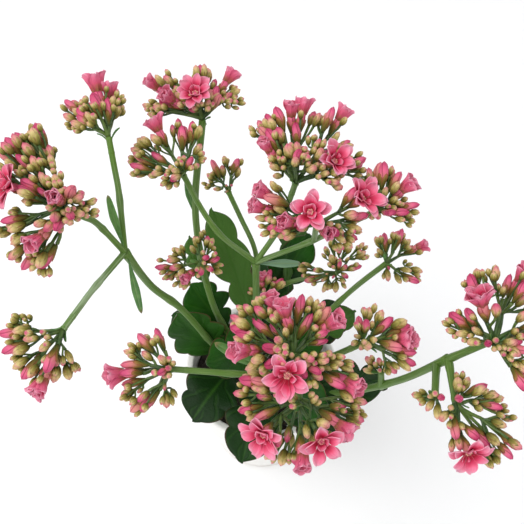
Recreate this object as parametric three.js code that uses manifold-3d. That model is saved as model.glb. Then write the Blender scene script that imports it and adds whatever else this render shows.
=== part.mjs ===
// A florist kalanchoe with double pink flowers in a plain ceramic pot.
// Millimetres, +Z up. The origin is the middle of the pot's underside, +X is to the right of
// someone who looks at the plant's front, and +Y points away from them.
// Each stem, branch, leaf and flower head is one solid. Neighbours keep a small gap.
import * as THREE from "three";
import { mergeVertices } from "three/addons/utils/BufferGeometryUtils.js";
import Module from "manifold-3d";

const wasm = await Module();
wasm.setup();

// Driving dimensions of the pot and its soil
const POT_HEIGHT = 84;
const POT_BASE_RADIUS = 34;
const POT_RIM_RADIUS = 48;
const RIM_BAND_HEIGHT = 15;
const RIM_BAND_STEP = 1.6;
const POT_WALL = 4;
const POT_FLOOR = 5;
const POT_EDGE_BEVEL = 1.5;
const LIP_BEVEL = 1;
const POT_BORE_RADIUS = POT_RIM_RADIUS - POT_WALL - LIP_BEVEL;
const DRAIN_HOLES = 3;
const DRAIN_HOLE_RADIUS = 2;
const DRAIN_HOLE_SIDES = 8;
const DRAIN_CIRCLE_RADIUS = 18;
const SOIL_LEVEL = 74;
const SOIL_EDGE_BEVEL = 0.8;
const ROUND_SIDES = 36;

// Driving dimensions of the plant
const GAP = 0.3;
const STEM_RADIUS = 1.9;
const THIN_STEM_RADIUS = 1.5;
const BRANCH_RADIUS = 1.4;
const NODE_RADIUS = 2.7;
const UPRIGHT_FOOT = 6;
const NECK_LENGTH = 5;
const NECK_SLIMNESS = 0.8;
const STALK_RADIUS = 0.9;
const SHORTEST_STALK = 0.5;
const HUB_RADIUS = 2.6;
const LEAF_THICKNESS = 2.4;
const BRACT_THICKNESS = 1.4;
const SCALLOP_DEPTH = 1.6;

// Sides and steps of the tubes and balls that the plant is made of
const STEM_FACETS = { sides: 6, steps: 9 };
const BRANCH_FACETS = { sides: 5, steps: 6 };
const NODE_SIDES = 6;
const HUB_SIDES = 5;
const LEAF_ROWS = 10;
const BRACT_ROWS = 5;

// Shape of a leaf or bract, as shares of its half width, length or thickness
const BLADE = {
  petioleWidth: 0.18,
  petioleSpread: 1.4,
  roundStart: 0.12,
  roundEnd: 0.96,
  edgeThinning: 0.45,
  fold: 0.16,
  archEnd: 0.9,
};

// Length from base to tip and largest radius of each kind of sprig end
const ENDS = {
  flower: { length: 11, radius: 6.5, widest: 0.92, sides: 6 },
  cup: { length: 12, radius: 3.8, widest: 0.8, sides: 4 },
  bud: { length: 11, radius: 2.3, widest: 0.5, sides: 4 },
  young: { length: 6.5, radius: 2, widest: 0.5, sides: 4 },
};

// Sprig tips are given as right, up and near, in millimetres from the hub of their flower head,
// for someone who looks down on the plant along a line this far below level.
const LOOK_DOWN = THREE.MathUtils.degToRad(52);
const RIGHT = new THREE.Vector3(1, 0, 0);
const UP = new THREE.Vector3(0, Math.sin(LOOK_DOWN), Math.cos(LOOK_DOWN));
const NEAR = new THREE.Vector3(0, -Math.cos(LOOK_DOWN), Math.sin(LOOK_DOWN));

const colours = {
  pot: 0xe9e5dc,
  soil: 0x2b2019,
  stem: 0x446723,
  leaf: 0x23401a,
  bract: 0x4f7a35,
  petal: 0xe85c86,
};

function material(colour, roughness) {
  return new THREE.MeshStandardMaterial({ color: colour, roughness, metalness: 0 });
}

const materials = {
  pot: material(colours.pot, 0.45),
  soil: material(colours.soil, 0.95),
  stem: material(colours.stem, 0.5),
  leaf: material(colours.leaf, 0.4),
  bract: material(colours.bract, 0.45),
  petal: material(colours.petal, 0.6),
};

function point([x, y, z]) {
  return new THREE.Vector3(x, y, z);
}

// Solid of a closed three.js geometry
function solid(geometry) {
  const bare = geometry.index ? geometry.toNonIndexed() : geometry.clone();
  const places = new THREE.BufferGeometry();
  places.setAttribute("position", bare.getAttribute("position"));
  const merged = mergeVertices(places, 1e-4);
  return new wasm.Manifold(
    new wasm.Mesh({
      numProp: 3,
      vertProperties: new Float32Array(merged.attributes.position.array),
      triVerts: new Uint32Array(merged.index.array),
    }),
  );
}

function geometryOf(body) {
  const { vertProperties, triVerts, numProp } = body.getMesh();
  const geometry = new THREE.BufferGeometry();
  const places = [];
  for (let i = 0; i < vertProperties.length; i += numProp) {
    places.push(vertProperties[i], vertProperties[i + 1], vertProperties[i + 2]);
  }
  geometry.setAttribute("position", new THREE.Float32BufferAttribute(places, 3));
  geometry.setIndex(Array.from(triVerts));
  geometry.computeVertexNormals();
  return geometry;
}

// Round section of a stem as a regular polygon
function section(radius, sides) {
  const corners = [];
  for (let i = 0; i < sides; i += 1) {
    const turn = (2 * Math.PI * i) / sides;
    corners.push(new THREE.Vector2(radius * Math.cos(turn), radius * Math.sin(turn)));
  }
  return new THREE.Shape(corners);
}

function smoothPath(points) {
  return new THREE.CatmullRomCurve3(points, false, "centripetal");
}

function tube(points, radius, { sides, steps }) {
  return solid(
    new THREE.ExtrudeGeometry(section(radius, sides), {
      steps,
      extrudePath: smoothPath(points),
    }),
  );
}

// Straight rod between two points
function rod(from, to, radius, sides) {
  const geometry = new THREE.CylinderGeometry(radius, radius, from.distanceTo(to), sides);
  return solid(pointAlong(geometry, from, to, 0.5));
}

// Turns a geometry from +Y to the line between two points, at a share of the way along it
function pointAlong(geometry, from, to, share) {
  const direction = to.clone().sub(from).normalize();
  const turn = new THREE.Quaternion().setFromUnitVectors(new THREE.Vector3(0, 1, 0), direction);
  const place = from.clone().lerp(to, share);
  return geometry.applyQuaternion(turn).translate(place.x, place.y, place.z);
}

function ball(centre, radius, sides) {
  const sphere = new THREE.SphereGeometry(radius, sides, sides - 2);
  return solid(sphere.translate(centre.x, centre.y, centre.z));
}

// Every placed plant piece with a copy of it grown by the gap, which cuts the pieces after it
const placed = [];

function boxesMeet(a, b) {
  const first = a.boundingBox();
  const second = b.boundingBox();
  return [0, 1, 2].every((i) => first.min[i] <= second.max[i] && second.min[i] <= first.max[i]);
}

function largestBody(body) {
  const bodies = body.decompose();
  return bodies.reduce((best, next) => (next.volume() > best.volume() ? next : best));
}

const plant = new THREE.Group();

function add(name, look, body) {
  const mesh = new THREE.Mesh(geometryOf(body), look);
  mesh.name = name;
  plant.add(mesh);
}

// Makes one piece, cut back from the pieces before it, and adds it to the plant
function place(name, look, make) {
  let body = make(0);
  for (const grown of placed) {
    if (boxesMeet(body, grown)) {
      body = body.subtract(grown);
    }
  }
  placed.push(make(GAP));
  add(name, look, largestBody(body));
}

// Turns a profile of radius and height round the upright axis
function turned(profile) {
  const points = profile.map(([radius, height]) => new THREE.Vector2(radius, height));
  return solid(new THREE.LatheGeometry(points, ROUND_SIDES).rotateX(Math.PI / 2));
}

// The pot is one turned shape: floor, tapering wall and a thicker band round the rim
function potBody() {
  const bandFoot = POT_HEIGHT - RIM_BAND_HEIGHT;
  let pot = turned([
    [0, 0],
    [POT_BASE_RADIUS - POT_EDGE_BEVEL, 0],
    [POT_BASE_RADIUS, POT_EDGE_BEVEL],
    [POT_RIM_RADIUS - RIM_BAND_STEP, bandFoot],
    [POT_RIM_RADIUS, bandFoot + POT_EDGE_BEVEL],
    [POT_RIM_RADIUS, POT_HEIGHT - POT_EDGE_BEVEL],
    [POT_RIM_RADIUS - POT_EDGE_BEVEL, POT_HEIGHT],
    [POT_BORE_RADIUS + LIP_BEVEL, POT_HEIGHT],
    [POT_BORE_RADIUS, POT_HEIGHT - LIP_BEVEL],
    [POT_BORE_RADIUS, SOIL_LEVEL],
    [POT_BASE_RADIUS - POT_WALL, POT_FLOOR],
    [0, POT_FLOOR],
  ]);
  for (let i = 0; i < DRAIN_HOLES; i += 1) {
    const turn = (2 * Math.PI * i) / DRAIN_HOLES;
    const x = DRAIN_CIRCLE_RADIUS * Math.cos(turn);
    const y = DRAIN_CIRCLE_RADIUS * Math.sin(turn);
    const below = new THREE.Vector3(x, y, -POT_FLOOR);
    const above = new THREE.Vector3(x, y, 2 * POT_FLOOR);
    pot = pot.subtract(rod(below, above, DRAIN_HOLE_RADIUS, DRAIN_HOLE_SIDES));
  }
  return pot;
}

function soilBody() {
  const foot = POT_FLOOR + GAP;
  const shoulder = POT_BORE_RADIUS - 2 * GAP;
  return turned([
    [0, foot],
    [POT_BASE_RADIUS - POT_WALL - GAP, foot],
    [shoulder, SOIL_LEVEL - SOIL_EDGE_BEVEL],
    [shoulder - SOIL_EDGE_BEVEL, SOIL_LEVEL],
    [0, SOIL_LEVEL],
  ]);
}

// Forks of the stems
const FORK_FRONT = [7, -66, 198];
const FORK_MIDDLE = [-3, -3, 194];
const FORK_LEFT = [-59, -21, 224];
const FORK_RIGHT = [79, -59, 199];
const TOP_BACK_LEFT = [-28, 43, 243];
const TOP_MID_RIGHT = [61, -2, 192];
const TOP_BACK = [-18, 48, 190];
const FORK_BACK = [-2, 24, 118];

// Main stems start upright on the soil. A fork at the top gets a swollen node.
const mainStems = {
  stem_front: {
    points: [[3, -9], [4, -28, 112], [7, -48, 156], FORK_FRONT],
    radius: STEM_RADIUS,
    fork: true,
  },
  stem_middle: {
    points: [[-1, 2], [-3, 0, 132], FORK_MIDDLE],
    radius: STEM_RADIUS,
    fork: true,
  },
  stem_back_left: {
    points: [[-9, 7], [-20, 5, 115], [-28, 4, 154], [-33, 20, 205], TOP_BACK_LEFT],
    radius: STEM_RADIUS,
  },
  stem_left: {
    points: [[-12, -3], [-27, -6, 118], [-42, -12, 168], [-52, -18, 195], FORK_LEFT],
    radius: STEM_RADIUS,
    fork: true,
  },
  stem_right: {
    points: [[13, -7], [36, -29, 106], [64, -51, 163], FORK_RIGHT],
    radius: STEM_RADIUS,
    fork: true,
  },
  stem_mid_right: {
    points: [[9, 8], [22, 4, 112], [38, -1, 151], [49, -4, 177], TOP_MID_RIGHT],
    radius: THIN_STEM_RADIUS,
  },
  stem_back: {
    points: [[-1, 13], FORK_BACK, [-4, 33, 159], [-12, 42, 177], TOP_BACK],
    radius: THIN_STEM_RADIUS,
  },
};

function stemPoints({ points }) {
  const [[x, y], ...rest] = points;
  return [
    new THREE.Vector3(x, y, SOIL_LEVEL + GAP),
    new THREE.Vector3(x, y, SOIL_LEVEL + UPRIGHT_FOOT),
    ...rest.map(point),
  ];
}

function stemBody(stem, grow) {
  const points = stemPoints(stem);
  const body = tube(points, stem.radius + grow, STEM_FACETS);
  const top = points[points.length - 1];
  return stem.fork ? body.add(ball(top, NODE_RADIUS + grow, NODE_SIDES)) : body;
}

// Branches run from a fork to the foot of a flower head
const branches = {
  branch_front_left: [FORK_FRONT, [-12, -68, 203], [-37, -68, 207]],
  branch_front_right: [FORK_FRONT, [24, -65, 208], [41, -62, 218]],
  branch_middle_left: [FORK_MIDDLE, [-20, 0, 212], [-29, 6, 226], [-35, 12, 238]],
  branch_middle_up: [FORK_MIDDLE, [8, -3, 220], [14, -4, 249]],
  branch_middle_right: [FORK_MIDDLE, [22, -9, 217], [47, -16, 245]],
  branch_left_up: [FORK_LEFT, [-67, -23, 246], [-74, -29, 260]],
  branch_left_back: [FORK_LEFT, [-61, -2, 243], [-65, 15, 257]],
  branch_left_down: [FORK_LEFT, [-71, -41, 222], [-79, -58, 221]],
  branch_back_right: [FORK_BACK, [14, 22, 142], [34, 16, 158], [41, 14, 163]],
};

function branchEnds(points) {
  const hub = points[points.length - 1];
  const direction = hub.clone().sub(points[points.length - 2]).normalize();
  return { hub, foot: hub.clone().addScaledVector(direction, -NECK_LENGTH) };
}

// The branch ends short of its hub, where the neck of the flower head takes over
function branchBody(points, grow) {
  const { foot } = branchEnds(points);
  const path = [...points.slice(0, -1), foot];
  if (points.length > 2) {
    const last = points[points.length - 2];
    path.splice(-1, 0, last.clone().lerp(foot, 0.5));
  }
  return tube(path, BRANCH_RADIUS + grow, BRANCH_FACETS);
}

// A sprig is one turned shape: a thin stalk that widens into a bud, cup or flower at its tip
function sprigBody(kind, hub, tip, grow) {
  const { length, radius, widest, sides } = ENDS[kind];
  const reach = hub.distanceTo(tip);
  const start = HUB_RADIUS / 2;
  const base = Math.max(start + SHORTEST_STALK, reach - length);
  const profile = [
    [0, start],
    [STALK_RADIUS + grow, start],
    [STALK_RADIUS + grow, base - grow],
    [radius + grow, base + (reach - base) * widest],
    [0, reach + grow],
  ].map(([across, along]) => new THREE.Vector2(across, along));
  return solid(pointAlong(new THREE.LatheGeometry(profile, sides), hub, tip, 0));
}

// Flower heads: the stem or branch that carries each, its hub and its main sprigs
const heads = {
  head_front: {
    carrier: "stem_front",
    hubs: [[12, -72, 226], [14, -84, 213]],
    sprigs: [
      ["flower", -3, -6, 20], ["flower", -3, 18, 8], ["cup", 15, 13, 6], ["cup", -20, 3, 10],
      ["cup", 22, -11, 6], ["bud", -14, 22, 0], ["bud", 3, 23, 0], ["bud", 12, 20, -2],
      ["bud", -24, 11, 4], ["bud", -19, 19, 0], ["bud", 22, -5, 6], ["young", 12, 0, 14],
    ],
    lower: [
      ["flower", 7, -11, 19], ["flower", -14, -11, 12], ["cup", 2, -21, 12], ["bud", -7, -25, 2],
      ["bud", -15, -21, 2], ["bud", -23, -4, 4], ["bud", -24, 5, 1], ["cup", 18, -10, 6],
      ["bud", 26, -1, 2], ["bud", 24, -9, 0],
    ],
  },
  head_middle_top: {
    carrier: "branch_middle_up",
    hubs: [[14, -4, 249]],
    sprigs: [
      ["flower", 3, 31, 0], ["bud", -7, 31, 0], ["cup", 20, 29, 0], ["bud", 13, 30, -3],
      ["bud", -12, 29, -2], ["bud", -18, 23, 0], ["cup", -13, 15, 6], ["flower", 15, 7, 14],
      ["bud", -11, 8, 10], ["bud", 0, 11, 18], ["bud", 22, 15, 1], ["bud", 9, 17, 8],
      ["bud", 29, 9, 4], ["young", 5, 6, 17],
    ],
  },
  head_middle_low: {
    carrier: "branch_middle_right",
    start: 0.55,
    hubs: [[22, -23, 244]],
    sprigs: [
      ["flower", -5, 5, 20], ["cup", -23, 13, 5], ["cup", -25, 7, 4], ["bud", -24, 2, 2],
      ["bud", -17, -2, 8], ["young", -22, -4, 2], ["flower", 17, 11, 11], ["bud", 20, 4, 6],
      ["bud", 17, -3, 6], ["young", 13, -9, 5],
    ],
  },
  head_middle_right: {
    carrier: "branch_middle_right",
    hubs: [[47, -16, 245]],
    sprigs: [
      ["bud", 1, 20, 0], ["cup", 13, 12, 6], ["bud", 7, 18, -2], ["bud", 17, 3, 2],
      ["young", 16, -4, 1], ["young", 5, -2, 9],
    ],
  },
  head_upper_left: {
    carrier: "branch_middle_left",
    hubs: [[-35, 12, 238]],
    sprigs: [
      ["flower", -12, 21, 4], ["cup", 4, 24, 0], ["bud", -3, 26, -4], ["bud", -21, 16, 0],
      ["bud", -23, 11, 3], ["cup", -23, 4, 6], ["young", -9, -5, 6], ["young", 9, 12, 2],
    ],
  },
  head_top_left: {
    carrier: "stem_back_left",
    hubs: [[-28, 43, 244]],
    sprigs: [
      ["flower", -3, 15, 12], ["bud", -1, 26, 0], ["cup", 13, 21, -2], ["bud", 18, 13, 0],
      ["bud", 5, 21, -6], ["bud", -8, 22, -6], ["bud", -18, 22, -3], ["cup", -24, 17, 0],
      ["cup", -15, 7, 11], ["bud", -27, 5, 3], ["cup", 9, 8, 11],
    ],
  },
  head_back_left: {
    carrier: "branch_left_back",
    hubs: [[-65, 15, 257]],
    sprigs: [
      ["flower", -6, 22, 0], ["cup", 0, 21, -3], ["bud", -5, 17, 8], ["bud", -19, 16, 0],
      ["bud", -19, 9, 2], ["young", -19, 5, 2], ["bud", 5, 19, 0],
    ],
  },
  head_far_left: {
    carrier: "branch_left_up",
    hubs: [[-74, -29, 260]],
    sprigs: [
      ["flower", -19, 8, 8], ["bud", -23, 27, 0], ["bud", -18, 30, -4], ["bud", -11, 31, 2],
      ["bud", -6, 23, 3], ["bud", -17, 20, 4], ["young", -2, 13, 7], ["cup", 1, 3, 15],
      ["bud", 6, 7, 12], ["young", 13, 1, 6], ["bud", 0, -9, 12], ["cup", -8, -13, 10],
      ["bud", -21, -19, 2], ["bud", -17, -23, 0], ["bud", -8, -24, 3], ["bud", -23, -5, 4],
    ],
  },
  head_bottom_left: {
    carrier: "branch_left_down",
    hubs: [[-79, -58, 221]],
    sprigs: [
      ["bud", -25, -2, 2], ["bud", -21, 3, -1], ["bud", -24, -9, 2], ["bud", -20, -15, 0],
      ["cup", -16, -20, 2], ["cup", -9, -22, 4], ["bud", -3, -17, 11], ["bud", 5, -14, 4],
      ["young", 5, -19, 0],
    ],
  },
  head_lower_left: {
    carrier: "branch_front_left",
    hubs: [[-37, -68, 207]],
    sprigs: [
      ["bud", -6, 17, 2], ["bud", -14, 14, 0], ["bud", -18, 9, -1], ["bud", -20, 3, 2],
      ["cup", -22, -2, 4], ["bud", -20, -11, -2], ["bud", -17, -17, 0], ["bud", -12, -16, 4],
      ["young", 1, -13, 1], ["young", 1, 5, 6],
    ],
  },
  head_lower_right: {
    carrier: "branch_front_right",
    hubs: [[41, -62, 218]],
    sprigs: [
      ["bud", -3, 11, 2], ["bud", 2, 14, 0], ["bud", 12, 10, 0], ["cup", 16, 3, 4],
      ["bud", 20, -3, 2], ["bud", 20, -10, 0], ["young", -5, 1, 5], ["bud", 13, -13, -2],
    ],
  },
  head_far_right: {
    carrier: "stem_right",
    hubs: [[90, -64, 223]],
    sprigs: [
      ["flower", -8, 17, 8], ["bud", -8, 26, -3], ["bud", 1, 28, 0], ["bud", 7, 25, 0],
      ["cup", 11, 25, 2], ["bud", -13, 12, 4], ["bud", -18, 9, 0], ["young", -16, 3, 3],
      ["bud", -6, 0, 10], ["flower", 14, 7, 10], ["cup", 12, -18, 6], ["young", 4, -6, 9],
    ],
  },
  head_bottom_right: {
    carrier: "stem_right",
    hubs: [[79, -78, 197]],
    sprigs: [
      ["flower", 3, -18, 8], ["bud", -4, -12, 8], ["bud", -2, 5, 11], ["young", 2, 12, 4],
      ["bud", 12, 8, 2], ["bud", 19, 0, 3], ["bud", 24, -7, 0], ["bud", 24, -17, 4],
      ["bud", 18, -23, 1], ["bud", 13, -25, 2],
    ],
  },
  head_bottom_small: {
    carrier: "stem_right",
    start: 0.95,
    hubs: [[70, -77, 200]],
    sprigs: [
      ["bud", 1, 2, 9], ["bud", -5, 1, 5], ["young", -9, -1, 0], ["bud", 0, -8, 5],
      ["young", -6, -5, 3],
    ],
  },
  head_small_right: {
    carrier: "stem_right",
    start: 0.66,
    hubs: [[57, -47, 166]],
    sprigs: [
      ["bud", -8, 7, 1], ["bud", -2, 7, 3], ["young", -9, 1, 1], ["young", 2, 2, 6],
    ],
  },
  head_back_middle: {
    carrier: "stem_back",
    start: 0.42,
    hubs: [[0, 12, 141]],
    sprigs: [
      ["cup", 0, 13, 2], ["bud", 5, 17, 0], ["bud", 12, 12, 0], ["young", -8, 4, 2],
      ["young", 8, 4, 0],
    ],
  },
  head_mid_right: {
    carrier: "stem_mid_right",
    hubs: [[61, -2, 192]],
    sprigs: [
      ["bud", -7, 12, 0], ["bud", -1, 15, 0], ["bud", 7, 15, 0], ["young", 11, 11, 0],
      ["cup", 18, 9, 0], ["bud", 1, -8, 3], ["bud", 14, -9, 2], ["bud", 18, -4, 0],
    ],
  },
  head_back: {
    carrier: "stem_back",
    hubs: [[-18, 48, 190]],
    sprigs: [
      ["bud", -9, 18, 0], ["bud", -3, 20, 0], ["bud", 5, 19, 0], ["bud", -12, 10, 0],
      ["young", -9, 2, 2],
    ],
  },
  head_small_left: {
    carrier: "stem_back_left",
    start: 0.52,
    hubs: [[-30, -3, 194]],
    sprigs: [
      ["bud", -3, 13, 1], ["young", 4, 13, 0], ["bud", -13, 6, 2], ["bud", -22, -2, 2],
      ["bud", -18, -8, 2], ["bud", -11, -12, 1], ["cup", -6, -8, 8], ["bud", 5, 3, 9],
      ["bud", 10, 1, 4], ["young", 11, -4, 3],
    ],
  },
  head_back_right: {
    carrier: "branch_back_right",
    hubs: [[41, 14, 163]],
    sprigs: [
      ["bud", -2, 18, 0], ["bud", -8, 13, 0], ["bud", 14, 15, 0], ["bud", 14, 5, 2],
      ["bud", -13, 2, 0], ["bud", -18, -5, 0], ["bud", 0, 6, 8], ["bud", 5, -5, 4],
      ["bud", -6, -11, 1],
    ],
  },
};

// Where a head's stalk leaves its carrier: at the end, or at a share of the way along it
function carrierOf(name) {
  if (branches[name]) {
    return { points: branches[name].map(point), radius: BRANCH_RADIUS };
  }
  return { points: stemPoints(mainStems[name]), radius: mainStems[name].radius };
}

function headBody(head, grow) {
  const carrier = carrierOf(head.carrier);
  const hubs = head.hubs.map(point);
  const start = head.start
    ? smoothPath(carrier.points).getPointAt(head.start)
    : branchEnds(carrier.points).foot;
  let body = rod(start, hubs[0], carrier.radius * NECK_SLIMNESS + grow, HUB_SIDES);
  if (hubs[1]) {
    body = body.add(rod(hubs[0], hubs[1], BRANCH_RADIUS + grow, HUB_SIDES));
  }
  for (const hub of hubs) {
    body = body.add(ball(hub, HUB_RADIUS + grow, HUB_SIDES));
  }
  [head.sprigs, head.lower ?? []].forEach((sprigs, level) => {
    for (const [kind, right, up, near] of sprigs) {
      const hub = hubs[level];
      const tip = hub
        .clone()
        .addScaledVector(RIGHT, right)
        .addScaledVector(UP, up)
        .addScaledVector(NEAR, near);
      body = body.add(sprigBody(kind, hub, tip, grow));
    }
  });
  return body;
}

// A blade runs from its base to its tip. Its half width follows a sine, with scallops on the
// edge of a leaf, the two halves fold up from the midrib, and the middle arches over the line.
function bladeBody(blade, thickness, rows, scallopDepth, grow) {
  const { base, tip, width, arch, facing } = blade;
  const from = point(base);
  const to = point(tip);
  const length = from.distanceTo(to);
  const box = new THREE.BoxGeometry(2, 1, 1, 2, rows, 1);
  const places = box.getAttribute("position");
  for (let i = 0; i < places.count; i += 1) {
    const along = places.getY(i) + 0.5;
    const across = places.getX(i);
    const onEdge = Math.abs(across);
    const petiole = Math.min(1, BLADE.petioleWidth + BLADE.petioleSpread * along);
    const turn = BLADE.roundStart + (1 - BLADE.roundStart) * along;
    const round = Math.sqrt(Math.sin(Math.PI * Math.min(BLADE.roundEnd, turn)));
    const notch = Math.round(along * rows) % 2 === 1 ? onEdge * scallopDepth : 0;
    const half = (width / 2) * round * petiole - notch + grow;
    const thick = thickness * (1 - BLADE.edgeThinning * across * across) + 2 * grow;
    const lift = BLADE.fold * onEdge * half + arch * Math.sin(Math.PI * BLADE.archEnd * along);
    const overrun = along > 0.5 ? grow : -grow;
    places.setXYZ(i, across * half, along * length + overrun, places.getZ(i) * thick + lift);
  }
  const forward = to.clone().sub(from).normalize();
  const side = new THREE.Vector3().crossVectors(forward, point(facing)).normalize();
  const upward = new THREE.Vector3().crossVectors(side, forward);
  const frame = new THREE.Matrix4().makeBasis(side, forward, upward).setPosition(from);
  return solid(box.applyMatrix4(frame));
}

// Leaves: base on a stem, tip, width, the way the upper face looks, and how high the middle
// arches over the straight line from base to tip
const leaves = {
  leaf_left: { base: [-22, -5, 104], tip: [-47, -2, 149], width: 34, facing: [0, -1, 0.6], arch: 5 },
  leaf_upright: { base: [-3, 1, 120], tip: [-25, 45, 180], width: 30, facing: [0.3, -1, 0.6], arch: 3 },
  leaf_back_right: { base: [-2, 24, 112], tip: [27, 40, 166], width: 26, facing: [0, -1, 0.5], arch: 3 },
  leaf_front_left: { base: [-15, -5, 95], tip: [-40, -44, 98], width: 36, facing: [0, -0.2, 1], arch: 7 },
  leaf_front: { base: [3, -15, 95], tip: [-11, -68, 97], width: 34, facing: [0, -0.1, 1], arch: 8 },
  leaf_front_right: { base: [19, -13, 92], tip: [36, -56, 94], width: 34, facing: [0, -0.2, 1], arch: 7 },
  leaf_right: { base: [30, -22, 101], tip: [69, -36, 127], width: 27, facing: [0, -0.3, 1], arch: 6 },
  leaf_small_right: { base: [24, 4, 115], tip: [53, 3, 143], width: 20, facing: [0, -0.8, 1], arch: 4 },
  leaf_inner_right: { base: [11, 7, 92], tip: [38, -4, 126], width: 22, facing: [0, -0.6, 1], arch: 5 },
  leaf_narrow: { base: [-28, 5, 156], tip: [-38, 23, 184], width: 13, facing: [0, -1, 0.4], arch: 2 },
  leaf_inner_left: { base: [-19, 5, 112], tip: [-42, 22, 142], width: 30, facing: [0.2, -0.7, 1], arch: 4 },
  leaf_mid_left: { base: [-2, 0, 108], tip: [-31, -26, 134], width: 30, facing: [0, -0.6, 1], arch: 4 },
  leaf_mid_front: { base: [5, -31, 118], tip: [35, -52, 132], width: 28, facing: [0, -0.4, 1], arch: 5 },
  leaf_upper_back: { base: [14, 22, 142], tip: [22, 64, 156], width: 20, facing: [0, -0.3, 1], arch: 4 },
  leaf_far_back: { base: [-1, 17, 94], tip: [8, 66, 108], width: 34, facing: [0, -0.1, 1], arch: 7 },
  leaf_low_left: { base: [-13, 7, 88], tip: [-58, 26, 100], width: 34, facing: [0, 0, 1], arch: 7 },
  leaf_low_right: { base: [11, 8, 90], tip: [56, 26, 104], width: 34, facing: [0, 0, 1], arch: 7 },
};

// Bracts: small smooth blades at the forks
const bracts = {
  bract_left_up: { base: [-59, -20, 226], tip: [-64, -8, 246], width: 6, facing: [0, -1, 0.3], arch: 1 },
  bract_left_down: { base: [-58, -22, 221], tip: [-51, -44, 211], width: 6, facing: [0, 0, 1], arch: 1 },
  bract_back_left: { base: [-33, 19, 203], tip: [-37, 29, 219], width: 5, facing: [0, -1, 0.3], arch: 1 },
  bract_middle: { base: [-2, -3, 193], tip: [19, -4, 194], width: 7, facing: [0, -0.6, 1], arch: 1 },
  bract_front: { base: [4, -65, 199.5], tip: [-19, -62, 218], width: 8, facing: [0, -1, 1], arch: 1 },
};

add("pot", materials.pot, potBody());
add("soil", materials.soil, soilBody());
for (const [name, stem] of Object.entries(mainStems)) {
  place(name, materials.stem, (grow) => stemBody(stem, grow));
}
for (const [name, points] of Object.entries(branches)) {
  place(name, materials.stem, (grow) => branchBody(points.map(point), grow));
}
for (const [name, head] of Object.entries(heads)) {
  place(name, materials.petal, (grow) => headBody(head, grow));
}
for (const [name, leaf] of Object.entries(leaves)) {
  place(name, materials.leaf, (grow) => bladeBody(leaf, LEAF_THICKNESS, LEAF_ROWS, SCALLOP_DEPTH, grow));
}
for (const [name, bract] of Object.entries(bracts)) {
  place(name, materials.bract, (grow) => bladeBody(bract, BRACT_THICKNESS, BRACT_ROWS, 0, grow));
}

export default plant;
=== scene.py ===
"""A florist kalanchoe with double pink flowers, in a plain ceramic pot with its soil.

Every piece is made in millimetres, +Z up, with the middle of the pot's underside at the origin,
and is brought to metres when it is finished. Each corner of its mesh carries two vectors that the
finishes read: "lie" says where on its part the corner lies, and "tint" how that one part differs
from its neighbours.
"""

import functools
import math
import random

import bmesh
import bpy
from bpy.props import FloatProperty, FloatVectorProperty, IntProperty, PointerProperty
from mathutils import Matrix, Quaternion, Vector, noise
from mathutils.geometry import interpolate_bezier


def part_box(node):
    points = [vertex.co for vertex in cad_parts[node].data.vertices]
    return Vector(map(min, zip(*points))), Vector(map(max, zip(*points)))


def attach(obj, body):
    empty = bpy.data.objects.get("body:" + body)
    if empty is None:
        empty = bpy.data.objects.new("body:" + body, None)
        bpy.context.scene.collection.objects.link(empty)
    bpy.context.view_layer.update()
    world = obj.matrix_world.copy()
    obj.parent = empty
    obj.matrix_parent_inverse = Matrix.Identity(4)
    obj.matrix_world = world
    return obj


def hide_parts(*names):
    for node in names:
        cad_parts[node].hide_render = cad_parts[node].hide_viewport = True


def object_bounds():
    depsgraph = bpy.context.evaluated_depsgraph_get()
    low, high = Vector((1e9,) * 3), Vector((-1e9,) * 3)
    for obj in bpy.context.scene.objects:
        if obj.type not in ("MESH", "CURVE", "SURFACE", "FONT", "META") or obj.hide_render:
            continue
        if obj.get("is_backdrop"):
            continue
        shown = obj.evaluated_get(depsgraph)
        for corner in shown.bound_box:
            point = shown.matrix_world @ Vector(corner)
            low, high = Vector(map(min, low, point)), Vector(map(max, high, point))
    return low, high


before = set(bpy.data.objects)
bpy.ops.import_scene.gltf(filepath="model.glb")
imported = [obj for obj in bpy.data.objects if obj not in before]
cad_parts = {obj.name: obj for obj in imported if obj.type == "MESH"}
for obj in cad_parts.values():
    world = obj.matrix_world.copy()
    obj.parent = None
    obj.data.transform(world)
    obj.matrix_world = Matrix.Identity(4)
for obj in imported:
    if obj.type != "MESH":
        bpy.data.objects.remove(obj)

CAD_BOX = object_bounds()

bl_info = {
    "name": "Potted Kalanchoe",
    "version": (1, 0, 0),
    "blender": (4, 5, 0),
    "location": "3D View > Sidebar > Kalanchoe",
    "description": "Makes a potted kalanchoe with double pink flowers, piece by piece",
    "category": "Add Mesh",
}

MM = 0.001


def srgb(red, green, blue):
    """A screen colour from 0 to 255 as the linear colour that the finishes use."""
    shares = (c / 255 for c in (red, green, blue))
    return tuple(s / 12.92 if s <= 0.04045 else ((s + 0.055) / 1.055) ** 2.4 for s in shares)


# The plant is described as seen from above its front, along a line this far below level
LOOK_DOWN = math.radians(52)
RIGHT = Vector((1, 0, 0))
UP = Vector((0, math.sin(LOOK_DOWN), math.cos(LOOK_DOWN)))
NEAR = Vector((0, -math.cos(LOOK_DOWN), math.sin(LOOK_DOWN)))

# Sizes that the plant's pieces share with the frame, in millimetres
SOIL_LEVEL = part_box("soil")[1].z / MM
STEM_START = SOIL_LEVEL + 0.3
STEM_UPRIGHT = 5.7
STEM_RADIUS = 1.75
THIN_STEM_RADIUS = 1.4
BRANCH_RADIUS = 1.3
NECK_LENGTH = 5
LEAF_THICKNESS = 2.4
BRACT_THICKNESS = 1.4

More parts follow.
